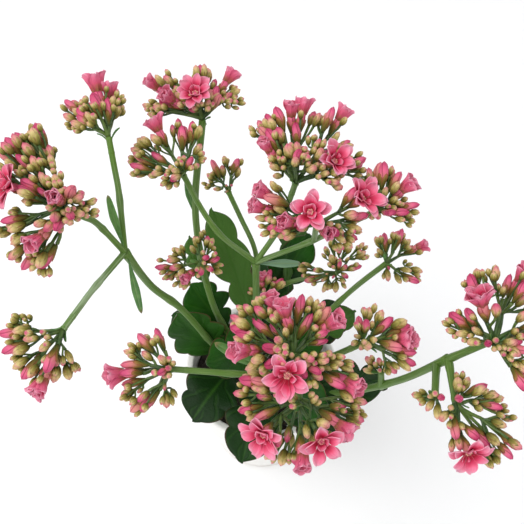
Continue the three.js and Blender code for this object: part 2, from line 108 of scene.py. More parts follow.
# Forks and tops of the stems
FORK_FRONT = (7, -66, 198)
FORK_MIDDLE = (-3, -3, 194)
FORK_LEFT = (-59, -21, 224)
FORK_RIGHT = (79, -59, 199)
FORK_BACK = (-2, 24, 118)
TOP_BACK_LEFT = (-28, 43, 243)
TOP_MID_RIGHT = (61, -2, 192)
TOP_BACK = (-18, 48, 190)

# Main stems: radius, then the place on the soil where each rises and the places that it runs through
STEMS = {
    "stem_front": (STEM_RADIUS, [(3, -9), (4, -28, 112), (7, -48, 156), FORK_FRONT]),
    "stem_middle": (STEM_RADIUS, [(-1, 2), (-3, 0, 132), FORK_MIDDLE]),
    "stem_back_left": (STEM_RADIUS, [(-9, 7), (-20, 5, 115), (-28, 4, 154), (-33, 20, 205), TOP_BACK_LEFT]),
    "stem_left": (STEM_RADIUS, [(-12, -3), (-27, -6, 118), (-42, -12, 168), (-52, -18, 195), FORK_LEFT]),
    "stem_right": (STEM_RADIUS, [(13, -7), (36, -29, 106), (64, -51, 163), FORK_RIGHT]),
    "stem_mid_right": (THIN_STEM_RADIUS, [(9, 8), (22, 4, 112), (38, -1, 151), (49, -4, 177), TOP_MID_RIGHT]),
    "stem_back": (THIN_STEM_RADIUS, [(-1, 13), FORK_BACK, (-4, 33, 159), (-12, 42, 177), TOP_BACK]),
}
STEMS_WITH_FORKED_TOPS = ("stem_front", "stem_middle", "stem_left", "stem_right")

# How much pale bloom a stem or branch has
PALENESS = {"branch_left_down": 1.0, "stem_front": 0.3, "branch_middle_right": 0.8, "branch_back_right": 0.6}
USUAL_PALENESS = 0.28

# Branches: the fork that each leaves, then the places that it runs through
BRANCHES = {
    "branch_front_left": [FORK_FRONT, (-12, -68, 203), (-37, -68, 207)],
    "branch_front_right": [FORK_FRONT, (24, -65, 208), (41, -62, 218)],
    "branch_middle_left": [FORK_MIDDLE, (-20, 0, 212), (-29, 6, 226), (-35, 12, 238)],
    "branch_middle_up": [FORK_MIDDLE, (8, -3, 220), (14, -4, 249)],
    "branch_middle_right": [FORK_MIDDLE, (22, -9, 217), (47, -16, 245)],
    "branch_left_up": [FORK_LEFT, (-67, -23, 246), (-74, -29, 260)],
    "branch_left_back": [FORK_LEFT, (-61, -2, 243), (-65, 15, 257)],
    "branch_left_down": [FORK_LEFT, (-71, -41, 222), (-79, -58, 221)],
    "branch_back_right": [FORK_BACK, (14, 22, 142), (34, 16, 158), (41, 14, 163)],
}

# Leaves: base, tip, width, the way the upper face looks, and how high the middle arches
LEAVES = {
    "leaf_left": ((-20, -2.5, 101), (-47, -2, 149), 34, (0, -1, 0.6), 3),
    "leaf_upright": ((-3, 1, 120), (-28, 46, 181), 24, (0.3, -1, 0.6), 3),
    "leaf_back_right": ((-2, 24, 112), (27, 40, 166), 26, (0, -1, 0.5), 3),
    "leaf_front_left": ((-15, -5, 95), (-40, -44, 98), 36, (0, -0.2, 1), 7),
    "leaf_front": ((3, -15, 95), (-11, -68, 97), 34, (0, -0.1, 1), 8),
    "leaf_front_right": ((19, -13, 92), (36, -56, 94), 34, (0, -0.2, 1), 7),
    "leaf_right": ((30, -22, 101), (69, -36, 127), 27, (0, -0.3, 1), 6),
    "leaf_small_right": ((24, 4, 115), (53, 3, 143), 20, (0, -0.8, 1), 4),
    "leaf_inner_right": ((11, 7, 92), (38, -4, 126), 22, (0, -0.6, 1), 5),
    "leaf_narrow": ((-28, 5, 156), (-38, 23, 184), 13, (0, -1, 0.4), 2),
    "leaf_inner_left": ((-19, 5, 112), (-42, 22, 142), 30, (0.2, -0.7, 1), 4),
    "leaf_mid_left": ((-2, 0, 108), (-31, -26, 134), 30, (0, -0.6, 1), 4),
    "leaf_mid_front": ((5, -31, 118), (35, -52, 132), 28, (0, -0.4, 1), 5),
    "leaf_upper_back": ((14, 22, 142), (22, 64, 156), 20, (0, -0.3, 1), 4),
    "leaf_far_back": ((-1, 17, 94), (8, 66, 108), 34, (0, -0.1, 1), 7),
    "leaf_low_left": ((-13, 7, 88), (-58, 26, 100), 34, (0, 0, 1), 7),
    "leaf_low_right": ((11, 8, 90), (56, 26, 104), 34, (0, 0, 1), 7),
}

# Bracts, in the same way
BRACTS = {
    "bract_left_up": ((-59, -20, 226), (-64, -8, 246), 3.8, (0, -1, 0.3), 1),
    "bract_left_down": ((-58, -22, 221), (-51, -44, 211), 3.6, (0, 0, 1), 1),
    "bract_back_left": ((-33, 19, 203), (-37, 29, 219), 4, (0, -1, 0.3), 1),
    "bract_middle": ((-2, -3, 193), (19, -4, 194), 4.4, (0, -0.6, 1), 1),
    "bract_front": ((4, -65, 199.5), (-19, -62, 218), 5.4, (0, -1, 1), 1),
}

# Flower heads: the stem or branch that carries each, the share of it at which the head leaves it,
# and its clusters
HEADS = {}


def cluster(head, carrier, hub, at=1, **sprigs):
    """Adds a cluster of sprigs round a hub to a head. Each sprig is given as right, up and near of
    the hub: the tip of a bud, or the middle of the petals of a flower."""
    HEADS.setdefault(head, (carrier, at, []))[2].append((Vector(hub), sprigs))


cluster(
    "head_front", "stem_front", (12, -72, 226), opened=[(-3, -6, 13)], funnel=[(-4, 18, 6)],
    cup=[(-9, 20, -2), (15, 13, 6), (-20, 3, 10), (22, -11, 6)],
    bud=[(3, 23, 0), (13.5, 18, 2), (-24, 11, 4), (-22, 9, 6), (9, -5, 14), (-11, -3, 8), (25, -14, 4)],
    medium=[
        (-14, 22, 0), (9, 21, -2), (12, 20, -2), (-19, 19, 0), (-24, 15, 0), (-7.5, 7.5, 14), (-6, 1.5, 16),
        (6, 0, 16), (12, 0, 14), (18, -2, 8), (22, -5, 6), (-18, -4, 8),
    ],
    young=[
        (6, 21, 0), (-21, 18, -2), (-4, 5, 16), (-4, 3, 16), (13, 2, 12), (15, 1, 10), (7, -9, 14),
        (-13, -5, 8),
    ],
)
cluster(
    "head_front", "stem_front", (14, -84, 213), opened=[(7, -11, 20), (-14, -11, 12)],
    funnel=[(17, -10, 6)], rosette=[(1, -21, 13)],
    bud=[(-15, -21, 2), (-23, -4, 4), (-23, 8, 2), (-18, 9, 6)],
    medium=[(-2, -24, 4), (-7, -25, 2), (-25, 3, 2), (6, 4, 14), (23, -11, 2), (26, -1, 2), (25, -9, 0)],
    young=[(-10, -24, 0), (-13, -23, 0), (-24, 6, 0), (-4, 3, 14), (-10, 6, 12), (24, -5, 0), (26, -7, -2)],
)
cluster(
    "head_middle_top", "branch_middle_up", (14, -4, 249), opened=[(15, 7, 14)], funnel=[(3, 32, 0)],
    cup=[(-2, 31, 0), (20, 29, 0)], rosette=[(-13, 15, 6)],
    bud=[(-7.5, 32, 0), (-12, 29.5, -2), (-15, 23, 2), (-12, 21.5, 6), (0, 11, 18), (29, 9, 4)],
    medium=[
        (14, 30, -3), (8, 31, -4), (-16, 26.5, -2), (9, 17, 8), (0, 14.5, 14), (19.5, 15, 4), (23, 17, 0),
        (-5, 13, 12), (-11, 6, 10), (7, 4, 16), (12, 2, 16), (16, -2, 16),
    ],
    young=[
        (-19, 23, 0), (-19, 21, 1), (7.5, 19.5, 6), (7, 12, 14), (11, 15, 10), (23, 13, 0), (22, 11, 2),
        (-8, 12, 10), (-11, 9, 10), (4, 8, 18), (3, 12, 16), (19, 3, 14), (29.5, 5, 4), (31.5, 2, 4),
    ],
)
cluster(
    "head_middle_low", "branch_middle_right", (22, -23, 244), at=0.55, opened=[(-4, 4, 18), (17.5, 10, 10)],
    cup=[(-22, 13, 4)], rosette=[(-25, 7.5, 4), (-13, 1, 10), (3, -4, 14)],
    bud=[(-17, -2, 8), (7.5, -4, 10), (20, 4, 6)],
    medium=[(-25, 3, 2), (-20, -2, 4), (11, -7, 8), (17.5, -2, 6), (16, -6, 4)],
    young=[(-24, -1, 2), (-22, -4, 2), (13, -9, 6), (10, -10, 6)],
)
cluster(
    "head_middle_right", "branch_middle_right", (47, -16, 245), cup=[(12, 10, 5)],
    bud=[(1, 20, 0), (10, 16, 0), (17, 2.5, 2), (12, -1, 6), (6, -2, 8)],
    medium=[(6.5, 18, -2), (3, 9, 6), (3, -2, 8)],
    young=[(17, -1, 0), (16, -5, 2), (-4, -4, 6), (-1, -4, 6)],
)
cluster(
    "head_upper_left", "branch_middle_left", (-35, 12, 238), funnel=[(-12, 22, 4)],
    bud=[(4, 24, 0), (-3, 26, -4), (-22, 9, 4), (-23, 3.5, 6), (5, 7, 8)],
    medium=[(-21, 16, 0), (-23, 12, 2), (-13, 0, 8), (-5, -4, 6), (-4, 1, 10), (-4, -3, 9), (8, 14, 0)],
    young=[(-25, 8, 0), (-9, -5, 6), (-7, -7, 4), (-1, 7, 8), (0, 5, 8), (10, 10, 2), (10, 7, 2)],
)
cluster(
    "head_top_left", "stem_back_left", (-28, 43, 244), opened=[(-2, 9, 14)], funnel=[(13, 21, -2)],
    cup=[(-24, 17, 0), (-15, 8, 10)],
    bud=[(-1, 26, 0), (9, 9, 10), (-18, 22, -3), (-19, 7, 8), (5, 21, -6), (-6, 19, -3), (8, 15, 2)],
    medium=[
        (18, 14, 0), (-7.5, 22, -6), (-11, 20, -6), (-22, 4, 8), (-28, 6, 2), (4, 5, 14), (-21, 12, -2),
        (-10, 14, 2), (3, 16, 2), (14, 12, 2), (-12, 11, 6),
    ],
    young=[
        (17, 9, 4), (14, 7, 6), (20, 10, 0), (-10, 5, 12), (4, 7, 14), (-24, 9, 0), (20, 7, 2),
        (-13, 18, -4), (-16, 13, 0), (-27, 4, 4), (-24, 1, 6), (-8, 7, 14), (-5, 8, 15), (0, 6, 16),
        (-1, 4, 15),
    ],
)
cluster(
    "head_back_left", "branch_left_back", (-65, 15, 257), funnel=[(-6, 23, 0)], cup=[(0, 21, -2)],
    bud=[(-5, 17, 8), (-19, 16, 0), (-12, 12, 4), (1, 16, 4)],
    medium=[
        (-13, 17, -3), (-19, 9, 2), (-12, 8, 6), (-8, 9, 8), (3, 17, 4), (-15, 12, 2), (-15, 6, 4),
        (5, 14, 0), (-9, 15, 0),
    ],
    young=[
        (-19, 5, 2), (-8, 5, 6), (4, 20, 0), (7, 17, 0), (6, 18, 0), (7, 14, 0), (-16, 4, 2), (-12, 4, 4),
    ],
)
cluster(
    "head_far_left", "branch_left_up", (-74, -29, 260), opened=[(-19, 8, 8)], cup=[(-8, -13, 10)],
    rosette=[(1.5, 3, 16)],
    bud=[
        (-23, 27, 0), (-20, 30, -4), (-11, 32, 2), (-17, 20, 4), (-14, 10, 8), (-15, 7, 10), (6, 7, 12),
        (0, -9, 12), (-21, -19, 2), (-17, -23, 0), (-8, -23, 4), (-23, -5, 4), (-26, 22, 0), (-27, 14, 0),
    ],
    medium=[
        (-16, 31, -6), (-6, 24, 2), (-5, 20, 4), (-11, 19, 6), (-1.5, 12, 8), (-8, 13, 6), (9, 4, 10),
        (10, -3, 9), (6, -4, 12), (-13, -24, 0), (-21, -12, 0), (-22, -8, -2), (-27, -10, 0),
    ],
    young=[(-4, 17, 4), (-3, 15, 6), (13, 2, 6), (14, -1, 5), (-8, -26, 0), (-23, -1, -4)],
)
cluster(
    "head_bottom_left", "branch_left_down", (-79, -58, 221), cup=[(-9, -23, 4), (-7, -22, 6)],
    bud=[(-25, -2, 2), (-24, -9, 2), (-16, -20, 0), (-3, -15, 12)],
    medium=[
        (-23, 1, -2), (-18, 0, 6), (-20, -16, 0), (-3, -21, 2), (5, -13, 4), (3, -20, 0), (-12, -3, 10),
        (-5, -7, 12),
    ],
    young=[(-21, 4, 0), (-18, 6, -2), (-21, -12, 0), (6, -17, 0), (-4, -2, 10), (-6, 0, 8)],
)
cluster(
    "head_lower_left", "branch_front_left", (-37, -68, 207), cup=[(-22, -2, 4)],
    bud=[(-6, 17, 2), (-14, 14, 0), (-20, 3, 2), (-20, -7, 0), (-17, -17, 0), (-12, -16, 4), (-4, 0, 10)],
    medium=[(-19, 8, 0), (-21, -11, -2), (-3, 7, 8), (0, 2, 9), (-2, -8, 4), (-2, -16, 0)],
    young=[(-17, 10, -2), (-19, -13, -2), (0, 6, 6), (2, 4, 5), (2, -11, 0), (1, -14, 0)],
)
cluster(
    "head_lower_right", "branch_front_right", (41, -62, 218), cup=[(16, 2, 4)],
    bud=[(-3, 11, 2), (11.5, 9.5, 0), (18, 7, 0), (20, -3, 2), (20, -9.5, 0)],
    medium=[(2, 14, 0), (7, 13, 0), (21, 0, 0), (-5, 3, 4), (0, -1, 10), (13, -13, -2)],
    young=[(4, 15, 0), (20, 4, 0), (-6, 0, 4), (-3, -2, 6), (3, 2, 8)],
)
cluster(
    "head_small_right", "stem_right", (57, -47, 166), at=0.66,
    medium=[(-8, 7, 1), (-2, 7, 3), (-9, 1, 1), (2, 2, 6)],
)
cluster(
    "head_far_right", "stem_right", (90, -64, 223), opened=[(14, 7, 10)], funnel=[(-8, 17.5, 8)],
    cup=[(11, 26, 2), (12, -18, 6)],
    bud=[(-9, 26, -2), (6, 26, 0), (-12, 13, 4), (-18, 10, 0), (-6, 0, 10), (10.5, -4, 8), (20, 2, 0)],
    medium=[
        (-5.5, 28, -4), (1, 29, 0), (-16, 3, 4), (-12.5, 0, 6), (7, -5, 9), (10, -11, 8), (6, 0, 8),
        (18, 15, 0),
    ],
    young=[
        (-20, 7, 0), (-19, 4, 2), (-1, -2, 10), (3, -3, 10), (1, -5, 8), (4, -7, 8), (6, -9, 8),
        (16, -6, 4),
    ],
)
cluster(
    "head_bottom_right", "stem_right", (79, -78, 197), opened=[(3, -19, 8)],
    bud=[(-3, -13, 8), (-2, 4.5, 12), (12, 8.5, 2), (18, -1, 4), (24, -18, 4), (23, -22, 2)],
    medium=[(-9, -5, 8), (0, 11, 4), (5, 11, 2), (20, 2, 0), (24, -7, 0), (18, -24, 0), (14, -26, 2)],
    young=[(3, 13, 0), (9, 1, 4), (10, -2, 4), (22, -3, 0), (16, -25, 0)],
)
cluster(
    "head_bottom_small", "stem_right", (70, -77, 200), at=0.95, bud=[(1, 2, 9)],
    medium=[(-4, 1, 4), (-5, -4.5, 4), (0, -8, 5)], young=[(-7.5, -1, 0), (-7, -3, 1), (-9, 1, 0)],
)
cluster(
    "head_mid_right", "stem_mid_right", (61, -2, 192), rosette=[(18.5, 9, 0)],
    bud=[(-1.5, 15, 0), (8, 17, 0), (0.5, -3, 4), (15.5, -10, 2)],
    medium=[(-6, 13, 0), (6, 16, 0), (11.5, 12, 0), (-5, 7, 0), (1, -9, 2), (7, -10, 2), (18, -4, 0)],
    young=[(13, 0, 0)],
)
cluster(
    "head_back", "stem_back", (-18, 48, 190), bud=[(-9, 18, 0), (5, 19, 0)],
    medium=[(-3, 20, 0), (6.5, 13.5, 0), (-4, 15, 0), (-12.5, 10, 0), (-8.5, 1.5, 2), (-1, 4, 4)],
    young=[(-14.5, 5, 0)],
)
cluster(
    "head_small_left", "stem_back_left", (-30, -3, 194), at=0.52, rosette=[(-6, -8, 8)],
    bud=[(-22, -2.5, 2), (4.5, 3, 8), (10, 2, 4)],
    medium=[
        (-3, 13, 0), (4, 13, 0), (6, 12, 0), (-12, 7, 2), (-18, -8, 2), (-10.5, -12.5, 0), (1.5, -6, 8),
        (7, -4, 6),
    ],
    young=[(1.5, 16.5, 0), (-14, 7, 0), (-15.5, 3, 0), (-13.5, -11.5, 0), (11, -1.5, 2), (10.5, -5, 2)],
)
cluster(
    "head_back_right", "branch_back_right", (41, 14, 163),
    bud=[(13, 4, 2), (1, 6.5, 6), (-18, -5, 0), (-3, -3, 4)],
    medium=[
        (-1.5, 18, 0), (-7, 14.5, 0), (6, 17, 0), (15, 16, 0), (5, 4, 4), (-13.5, 2, 0), (-9, -5, 0),
        (5, -3, 4), (-1.5, -11, 0), (-8, -11, 0), (-22, 2, 0),
    ],
    young=[(17, 9, 0), (-5.5, 5, 4), (4, -8, 2)],
)
cluster(
    "head_back_middle", "stem_back", (0, 12, 141), at=0.42, rosette=[(0, 13, 2)],
    bud=[(5, 17, 0), (12, 12, 0)], young=[(-8, 4, 2), (8, 4, 0)],
)


# Settings


def length_prop(name, description, default):
    return FloatProperty(name=name, description=description, unit="LENGTH", default=default)


def colour_prop(name, description, default):
    return FloatVectorProperty(name=name, description=description, subtype="COLOR", default=default)


def count_prop(name, description, default):
    return IntProperty(name=name, description=description, default=default, min=0)


class PotSettings(bpy.types.PropertyGroup):
    rim_radius: length_prop("Rim radius", "Outer radius of the rim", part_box("pot")[1].x)
    height: length_prop("Height", "Height of the pot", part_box("pot")[1].z)
    base_radius: length_prop("Base radius", "Radius of the foot", 34 * MM)
    wall: length_prop("Wall", "Thickness of the wall", 4 * MM)
    glaze: colour_prop("Glaze", "Colour of the glaze", srgb(247, 245, 241))


class SoilSettings(bpy.types.PropertyGroup):
    peat: colour_prop("Peat", "Colour of the damp peat", srgb(50, 37, 28))
    crumbs: count_prop("Crumbs", "Loose crumbs on the soil", 420)
    grit: count_prop("Grit", "Pale grains among the crumbs", 46)


class StemSettings(bpy.types.PropertyGroup):
    green: colour_prop("Green", "Colour of a main stem", srgb(86, 122, 38))
    bloom: colour_prop("Bloom", "Pale waxy tint on a stem", srgb(168, 188, 150))
    stalk: colour_prop("Stalk", "Colour of the flower stalks", srgb(54, 82, 34))


class LeafSettings(bpy.types.PropertyGroup):
    green: colour_prop("Green", "Colour of the upper face", srgb(14, 50, 6))
    light: colour_prop("Light green", "Colour by the midrib", srgb(56, 102, 26))
    margin: colour_prop("Margin", "Colour of the scalloped edge", srgb(84, 40, 34))
    scallop_depth: length_prop("Scallop depth", "Depth of the notches", 4.6 * MM)
    scallops: count_prop("Scallops", "Scallops on each side", 4)


class FlowerSettings(bpy.types.PropertyGroup):
    petal: colour_prop("Petal", "Colour of an open petal", srgb(240, 112, 146))
    rim: colour_prop("Petal rim", "Paler colour of its rim", srgb(252, 186, 206))
    throat: colour_prop("Throat", "Colour at its foot", srgb(176, 18, 48))
    cream: colour_prop("Cream", "Colour of a young bud", srgb(216, 194, 132))
    calyx: colour_prop("Calyx", "Colour of a full calyx", srgb(86, 90, 30))
    petal_length: length_prop("Petal length", "Length of an outer petal", 8.8 * MM)


class StageSettings(bpy.types.PropertyGroup):
    floor: colour_prop("Floor", "Colour of the floor", srgb(253, 253, 253))
    lens: FloatProperty(name="Lens", description="Focal length of the camera", unit="CAMERA", default=42.39)


# Finishes


class Wire:
    """A shader socket that Python's operators wire into Math nodes."""

    def __init__(self, socket):
        self.socket = socket

    def maths(self, operation, *others):
        node = self.socket.id_data.nodes.new("ShaderNodeMath")
        node.operation = operation
        for port, value in zip(node.inputs, (self, *others)):
            plug(port, value)
        return Wire(node.outputs[0])

    def __add__(self, other):
        return self.maths("ADD", other)

    def __mul__(self, other):
        return self.maths("MULTIPLY", other)

    def __sub__(self, other):
        return self.maths("SUBTRACT", other)

    def __rsub__(self, other):
        return self * -1 + other

    def __abs__(self):
        return self.maths("ABSOLUTE")

    __radd__ = __add__
    __rmul__ = __mul__


def plug(port, value):
    """Links a wire to a port, or sets the port to a number or colour."""
    if isinstance(value, Wire):
        port.id_data.links.new(value.socket, port)
    elif hasattr(value, "__len__") and len(port.default_value) == 4:
        port.default_value = (*value, 1)
    else:
        port.default_value = value


class Finish:
    """One procedural material and the nodes that it is made of."""

    def __init__(self, name, **constants):
        self.material = bpy.data.materials.new(name)
        self.material.use_nodes = True
        self.tree = self.material.node_tree
        self.shader = self.tree.nodes["Principled BSDF"]
        self.wear(**constants)

    def node(self, kind, settings=None, ports=None, out=0):
        """A node of any kind: its settings come first, then the values or links of its ports."""
        node = self.tree.nodes.new(kind)
        for name, value in (settings or {}).items():
            if name == "stops":
                ramp = node.color_ramp.elements
                while len(ramp) < len(value):
                    ramp.new(1)
                for element, (position, colour) in zip(ramp, value):
                    element.position = position
                    element.color = (*colour, 1)
            else:
                setattr(node, name, value)
        for name, value in (ports or {}).items():
            plug(node.inputs[name], value)
        return Wire(node.outputs[out])

    def split(self, vector):
        """The three numbers of a vector."""
        first = self.node("ShaderNodeSeparateXYZ", ports={0: vector})
        return [Wire(socket) for socket in first.socket.node.outputs]

    def attribute(self, name):
        """The three numbers that a piece carries at each corner under this name."""
        return self.split(self.node("ShaderNodeAttribute", {"attribute_name": name}, out="Vector"))

    def vector(self, x, y, z):
        return self.node("ShaderNodeCombineXYZ", ports={"X": x, "Y": y, "Z": z})

    def place(self):
        """Object coordinates in millimetres."""
        coordinates = self.node("ShaderNodeTexCoord", out="Object")
        return self.node("ShaderNodeVectorMath", {"operation": "SCALE"}, {0: coordinates, "Scale": 1 / MM})

    def noise(self, vector, scale, detail, roughness=0.5):
        """Cloudy variation from 0 to 1, with `scale` lumps to a unit of the vector."""
        ports = {"Vector": vector, "Scale": scale, "Detail": detail, "Roughness": roughness}
        return self.node("ShaderNodeTexNoise", ports=ports)

    def cells(self, vector, scale):
        """Distance to the nearest of a scatter of points."""
        return self.node("ShaderNodeTexVoronoi", ports={"Vector": vector, "Scale": scale})

    def step(self, value, low, high):
        """A smooth rise from 0 to 1 as the value goes from `low` to `high`."""
        ports = {"Value": value, "From Min": low, "From Max": high}
        return self.node("ShaderNodeMapRange", {"interpolation_type": "SMOOTHSTEP"}, ports)

    def ramp(self, value, *stops):
        """A run of colours: each stop is a value from 0 to 1 and the colour there."""
        return self.node("ShaderNodeValToRGB", {"stops": stops}, {"Fac": value})

    def mix(self, factor, a, b):
        return self.node("ShaderNodeMix", {"data_type": "RGBA"}, {0: factor, 6: a, 7: b}, out=2)

    def stain(self, base, colour, value, low, high, amount=None):
        """Lays a colour over the base as the value goes from `low` to `high`."""
        factor = self.step(value, low, high)
        return self.mix(factor * amount if amount else factor, base, colour)

    def bump(self, height, distance):
        """Feeds the surface's normal with a relief of `distance` metres."""
        ports = {"Height": height, "Distance": distance, "Strength": 1}
        plug(self.shader.inputs["Normal"], self.node("ShaderNodeBump", ports=ports))

    def wear(self, **channels):
        """Feeds the shader's sockets and gives the finished material back."""
        ports = {port.name.lower().replace(" ", "_"): port for port in self.shader.inputs}
        for name, value in channels.items():
            plug(ports[name], value)
        return self.material


def petal_finish(flower):
    """Open petals: deep red foot, paler tip and rim, fine veins, and a duller back with painted shade along
    its sides where neighbouring petals overlap.
    """
    glow = {"subsurface_weight": 0.08, "subsurface_radius": (0.002, 0.0008, 0.0008)}
    f = Finish("petal", specular_ior_level=0.25, **glow)
    across, back, along = f.attribute("lie")
    tone, openness, depth = f.attribute("tint")
    side = abs(across)
    veins = f.noise(f.vector(across * 7, along * 1.3, tone * 9), 1.6, 3)
    cloud = f.noise(f.place(), 0.35, 1)
    reach = along * 1.15 + side * 0.12 + (cloud - 0.5) * 0.3 + openness * 0.14 - depth * 0.2 - 0.4
    blush = f.ramp(
        reach, (0, flower.throat), (0.2, srgb(216, 56, 96)), (0.42, flower.petal),
        (0.66, srgb(246, 148, 176)), (0.9, flower.rim),
    )
    tinted = f.stain(blush, srgb(226, 74, 110), tone, -1.3, 1.3, 0.3)
    streaked = f.stain(tinted, srgb(224, 72, 112), veins, 0.52, 0.72, 0.3)
    rimmed = f.stain(streaked, srgb(252, 190, 206), side, 0.86, 1, 0.16)
    outside = f.ramp(
        along + (veins - 0.5) * 0.7 + (cloud - 0.5) * 0.3,
        (0, srgb(138, 112, 56)), (0.22, srgb(190, 104, 90)), (0.46, srgb(226, 94, 126)),
        (0.8, srgb(242, 120, 154)), (1, srgb(250, 170, 194)),
    )
    ribbed = f.stain(outside, srgb(190, 62, 100), veins, 0.46, 0.66, 0.6)
    # Painted shade: the back darkens along its sides, below the tip, where the neighbouring petals overlap it
    edges = f.step(side, 0.5, 0.95) * f.step(along, 1, 0.75)
    overlap_shaded = f.mix(edges * 0.7, ribbed, srgb(172, 44, 84))
    backed = f.mix(back * (1.1 - openness), rimmed, overlap_shaded)
    creamy = f.stain(backed, srgb(255, 226, 178), depth, 0.8, 1, 0.75)
    f.bump(veins, 0.0004)
    return f.wear(base_color=creamy, roughness=veins * 0.2 + 0.4)


def bud_finish(flower):
    """Closed petals: cream on a young bud, rose with a darker tip on a full one, and painted shade along the
    spiral seams where its petals overlap.
    """
    glow = {"subsurface_weight": 0.06, "subsurface_radius": (0.002, 0.001, 0.0008)}
    f = Finish("bud_petal", specular_ior_level=0.24, **glow)
    cos, sin, along = f.attribute("lie")
    tone, age, _ = f.attribute("tint")
    turn = sin.maths("ARCTAN2", cos)
    fibre = f.noise(f.vector(cos * 3, sin * 3, along * 2 + tone * 7), 2.2, 3)
    full = f.ramp(
        along + fibre * 0.24 - 0.12 + tone * 0.08,
        (0, srgb(108, 100, 38)), (0.38, srgb(160, 118, 70)), (0.54, srgb(218, 128, 130)),
        (0.76, srgb(230, 104, 142)), (1, srgb(196, 60, 106)),
    )
    pale = f.ramp(
        along + fibre * 0.24 - 0.16 + tone * 0.14,
        (0, srgb(104, 102, 38)), (0.42, srgb(168, 152, 80)), (0.64, flower.cream),
        (0.82, srgb(228, 168, 146)), (0.98, srgb(222, 108, 136)),
    )
    grown = f.stain(pale, full, age + tone * 0.3, 0.42, 0.9)
    # Painted shade: dark spiral lines where the petals of an older bud overlap; the same lines are grooved by
    # the bump
    shaded_seams = f.step((turn * 4 + along * 5 + tone * 3).maths("SINE"), 0.8, 1) * age
    shaded = f.mix(shaded_seams * 0.6, grown, srgb(150, 40, 66))
    f.bump(fibre - shaded_seams * 0.8, 0.00025)
    return f.wear(base_color=shaded, roughness=fibre * 0.25 + 0.34)


def calyx_finish(flower):
    """Sepals: green below and ochre above with a red brown rim, or pale yellow green when young. Their foot
    is darker, partly their own deeper green and partly painted shade, and dark red brown lines run where they
    part, partly their edges and partly painted shade.
    """
    f = Finish("calyx", specular_ior_level=0.22)
    cos, sin, along = f.attribute("lie")
    tone, age, _ = f.attribute("tint")
    turn = sin.maths("ARCTAN2", cos)
    fibre = f.noise(f.vector(cos * 4, sin * 4, along * 1.5 + tone * 5), 2, 3)
    # This run and the young one below start darker at the foot: partly the sepals' own deeper green, partly
    # painted shade under the bud
    full = f.ramp(
        along + fibre * 0.5 - 0.25,
        (0, srgb(60, 74, 26)), (0.3, flower.calyx), (0.62, srgb(116, 98, 38)),
        (0.85, srgb(150, 110, 58)), (1, srgb(172, 94, 74)),
    )
    young = f.ramp(
        along + fibre * 0.3 - 0.2 + tone * 0.12,
        (0, srgb(70, 80, 28)), (0.35, srgb(118, 114, 44)), (0.7, srgb(168, 156, 80)),
        (1, srgb(208, 196, 134)),
    )
    grown = f.stain(young, full, age + tone * 0.2, 0.3, 1)
    veined = f.stain(grown, srgb(84, 82, 34), fibre, 0.55, 0.8, 0.4)
    # Red brown sepal edges with painted shade: dark lines where the sepals part, between their points
    sepal_edge_and_shade = f.step(abs((turn * 2).maths("COSINE")), 0.4, 0.05) * f.step(along, 0.3, 0.7)
    edged_and_shaded = f.mix(sepal_edge_and_shade * 0.6, veined, srgb(126, 66, 44))
    f.bump(fibre - sepal_edge_and_shade, 0.0002)
    return f.wear(base_color=edged_and_shaded, roughness=fibre * 0.3 + 0.35)


def stalk_finish(stem):
    """Flower stalks: dark green with purple brown and waxy patches."""
    f = Finish("stalk", specular_ior_level=0.35)
    x, y, along = f.attribute("lie")
    tone, _, _ = f.attribute("tint")
    patch = f.noise(f.place(), 0.28, 3)
    fibre = f.noise(f.vector(x * 2, y * 2, along * 0.12), 1.4, 2)
    green = f.stain(stem.stalk, srgb(92, 116, 50), patch + tone * 0.2, 0.3, 0.75)
    brown = f.stain(green, srgb(84, 66, 50), patch - tone * 0.1, 0.6, 0.85, 0.6)
    waxy = f.stain(brown, srgb(132, 154, 124), fibre, 0.5, 0.85, 0.5)
    f.bump(fibre, 0.00015)
    return f.wear(base_color=waxy, roughness=fibre * 0.3 + 0.28)


def stem_finish(stem):
    """Main stems: smooth mid green with long streaks and a pale waxy bloom."""
    f = Finish("stem", specular_ior_level=0.25)
    x, y, along = f.attribute("lie")
    _, paleness, _ = f.attribute("tint")
    fibre = f.noise(f.vector(x * 1.3, y * 1.3, along * 0.035), 1.5, 4)
    patch = f.noise(f.place(), 0.05, 3)
    green = f.stain(stem.green, srgb(64, 96, 32), patch, 0.3, 0.7, 0.6)
    streaked = f.stain(green, srgb(124, 150, 62), fibre, 0.45, 0.75, 0.4)
    waxy = f.stain(streaked, stem.bloom, fibre + patch, 0.7, 1.5, paleness)
    f.bump(fibre + f.noise(f.place(), 1.6, 2) * 0.3, 0.0003)
    return f.wear(base_color=waxy, roughness=fibre * 0.25 + 0.3)


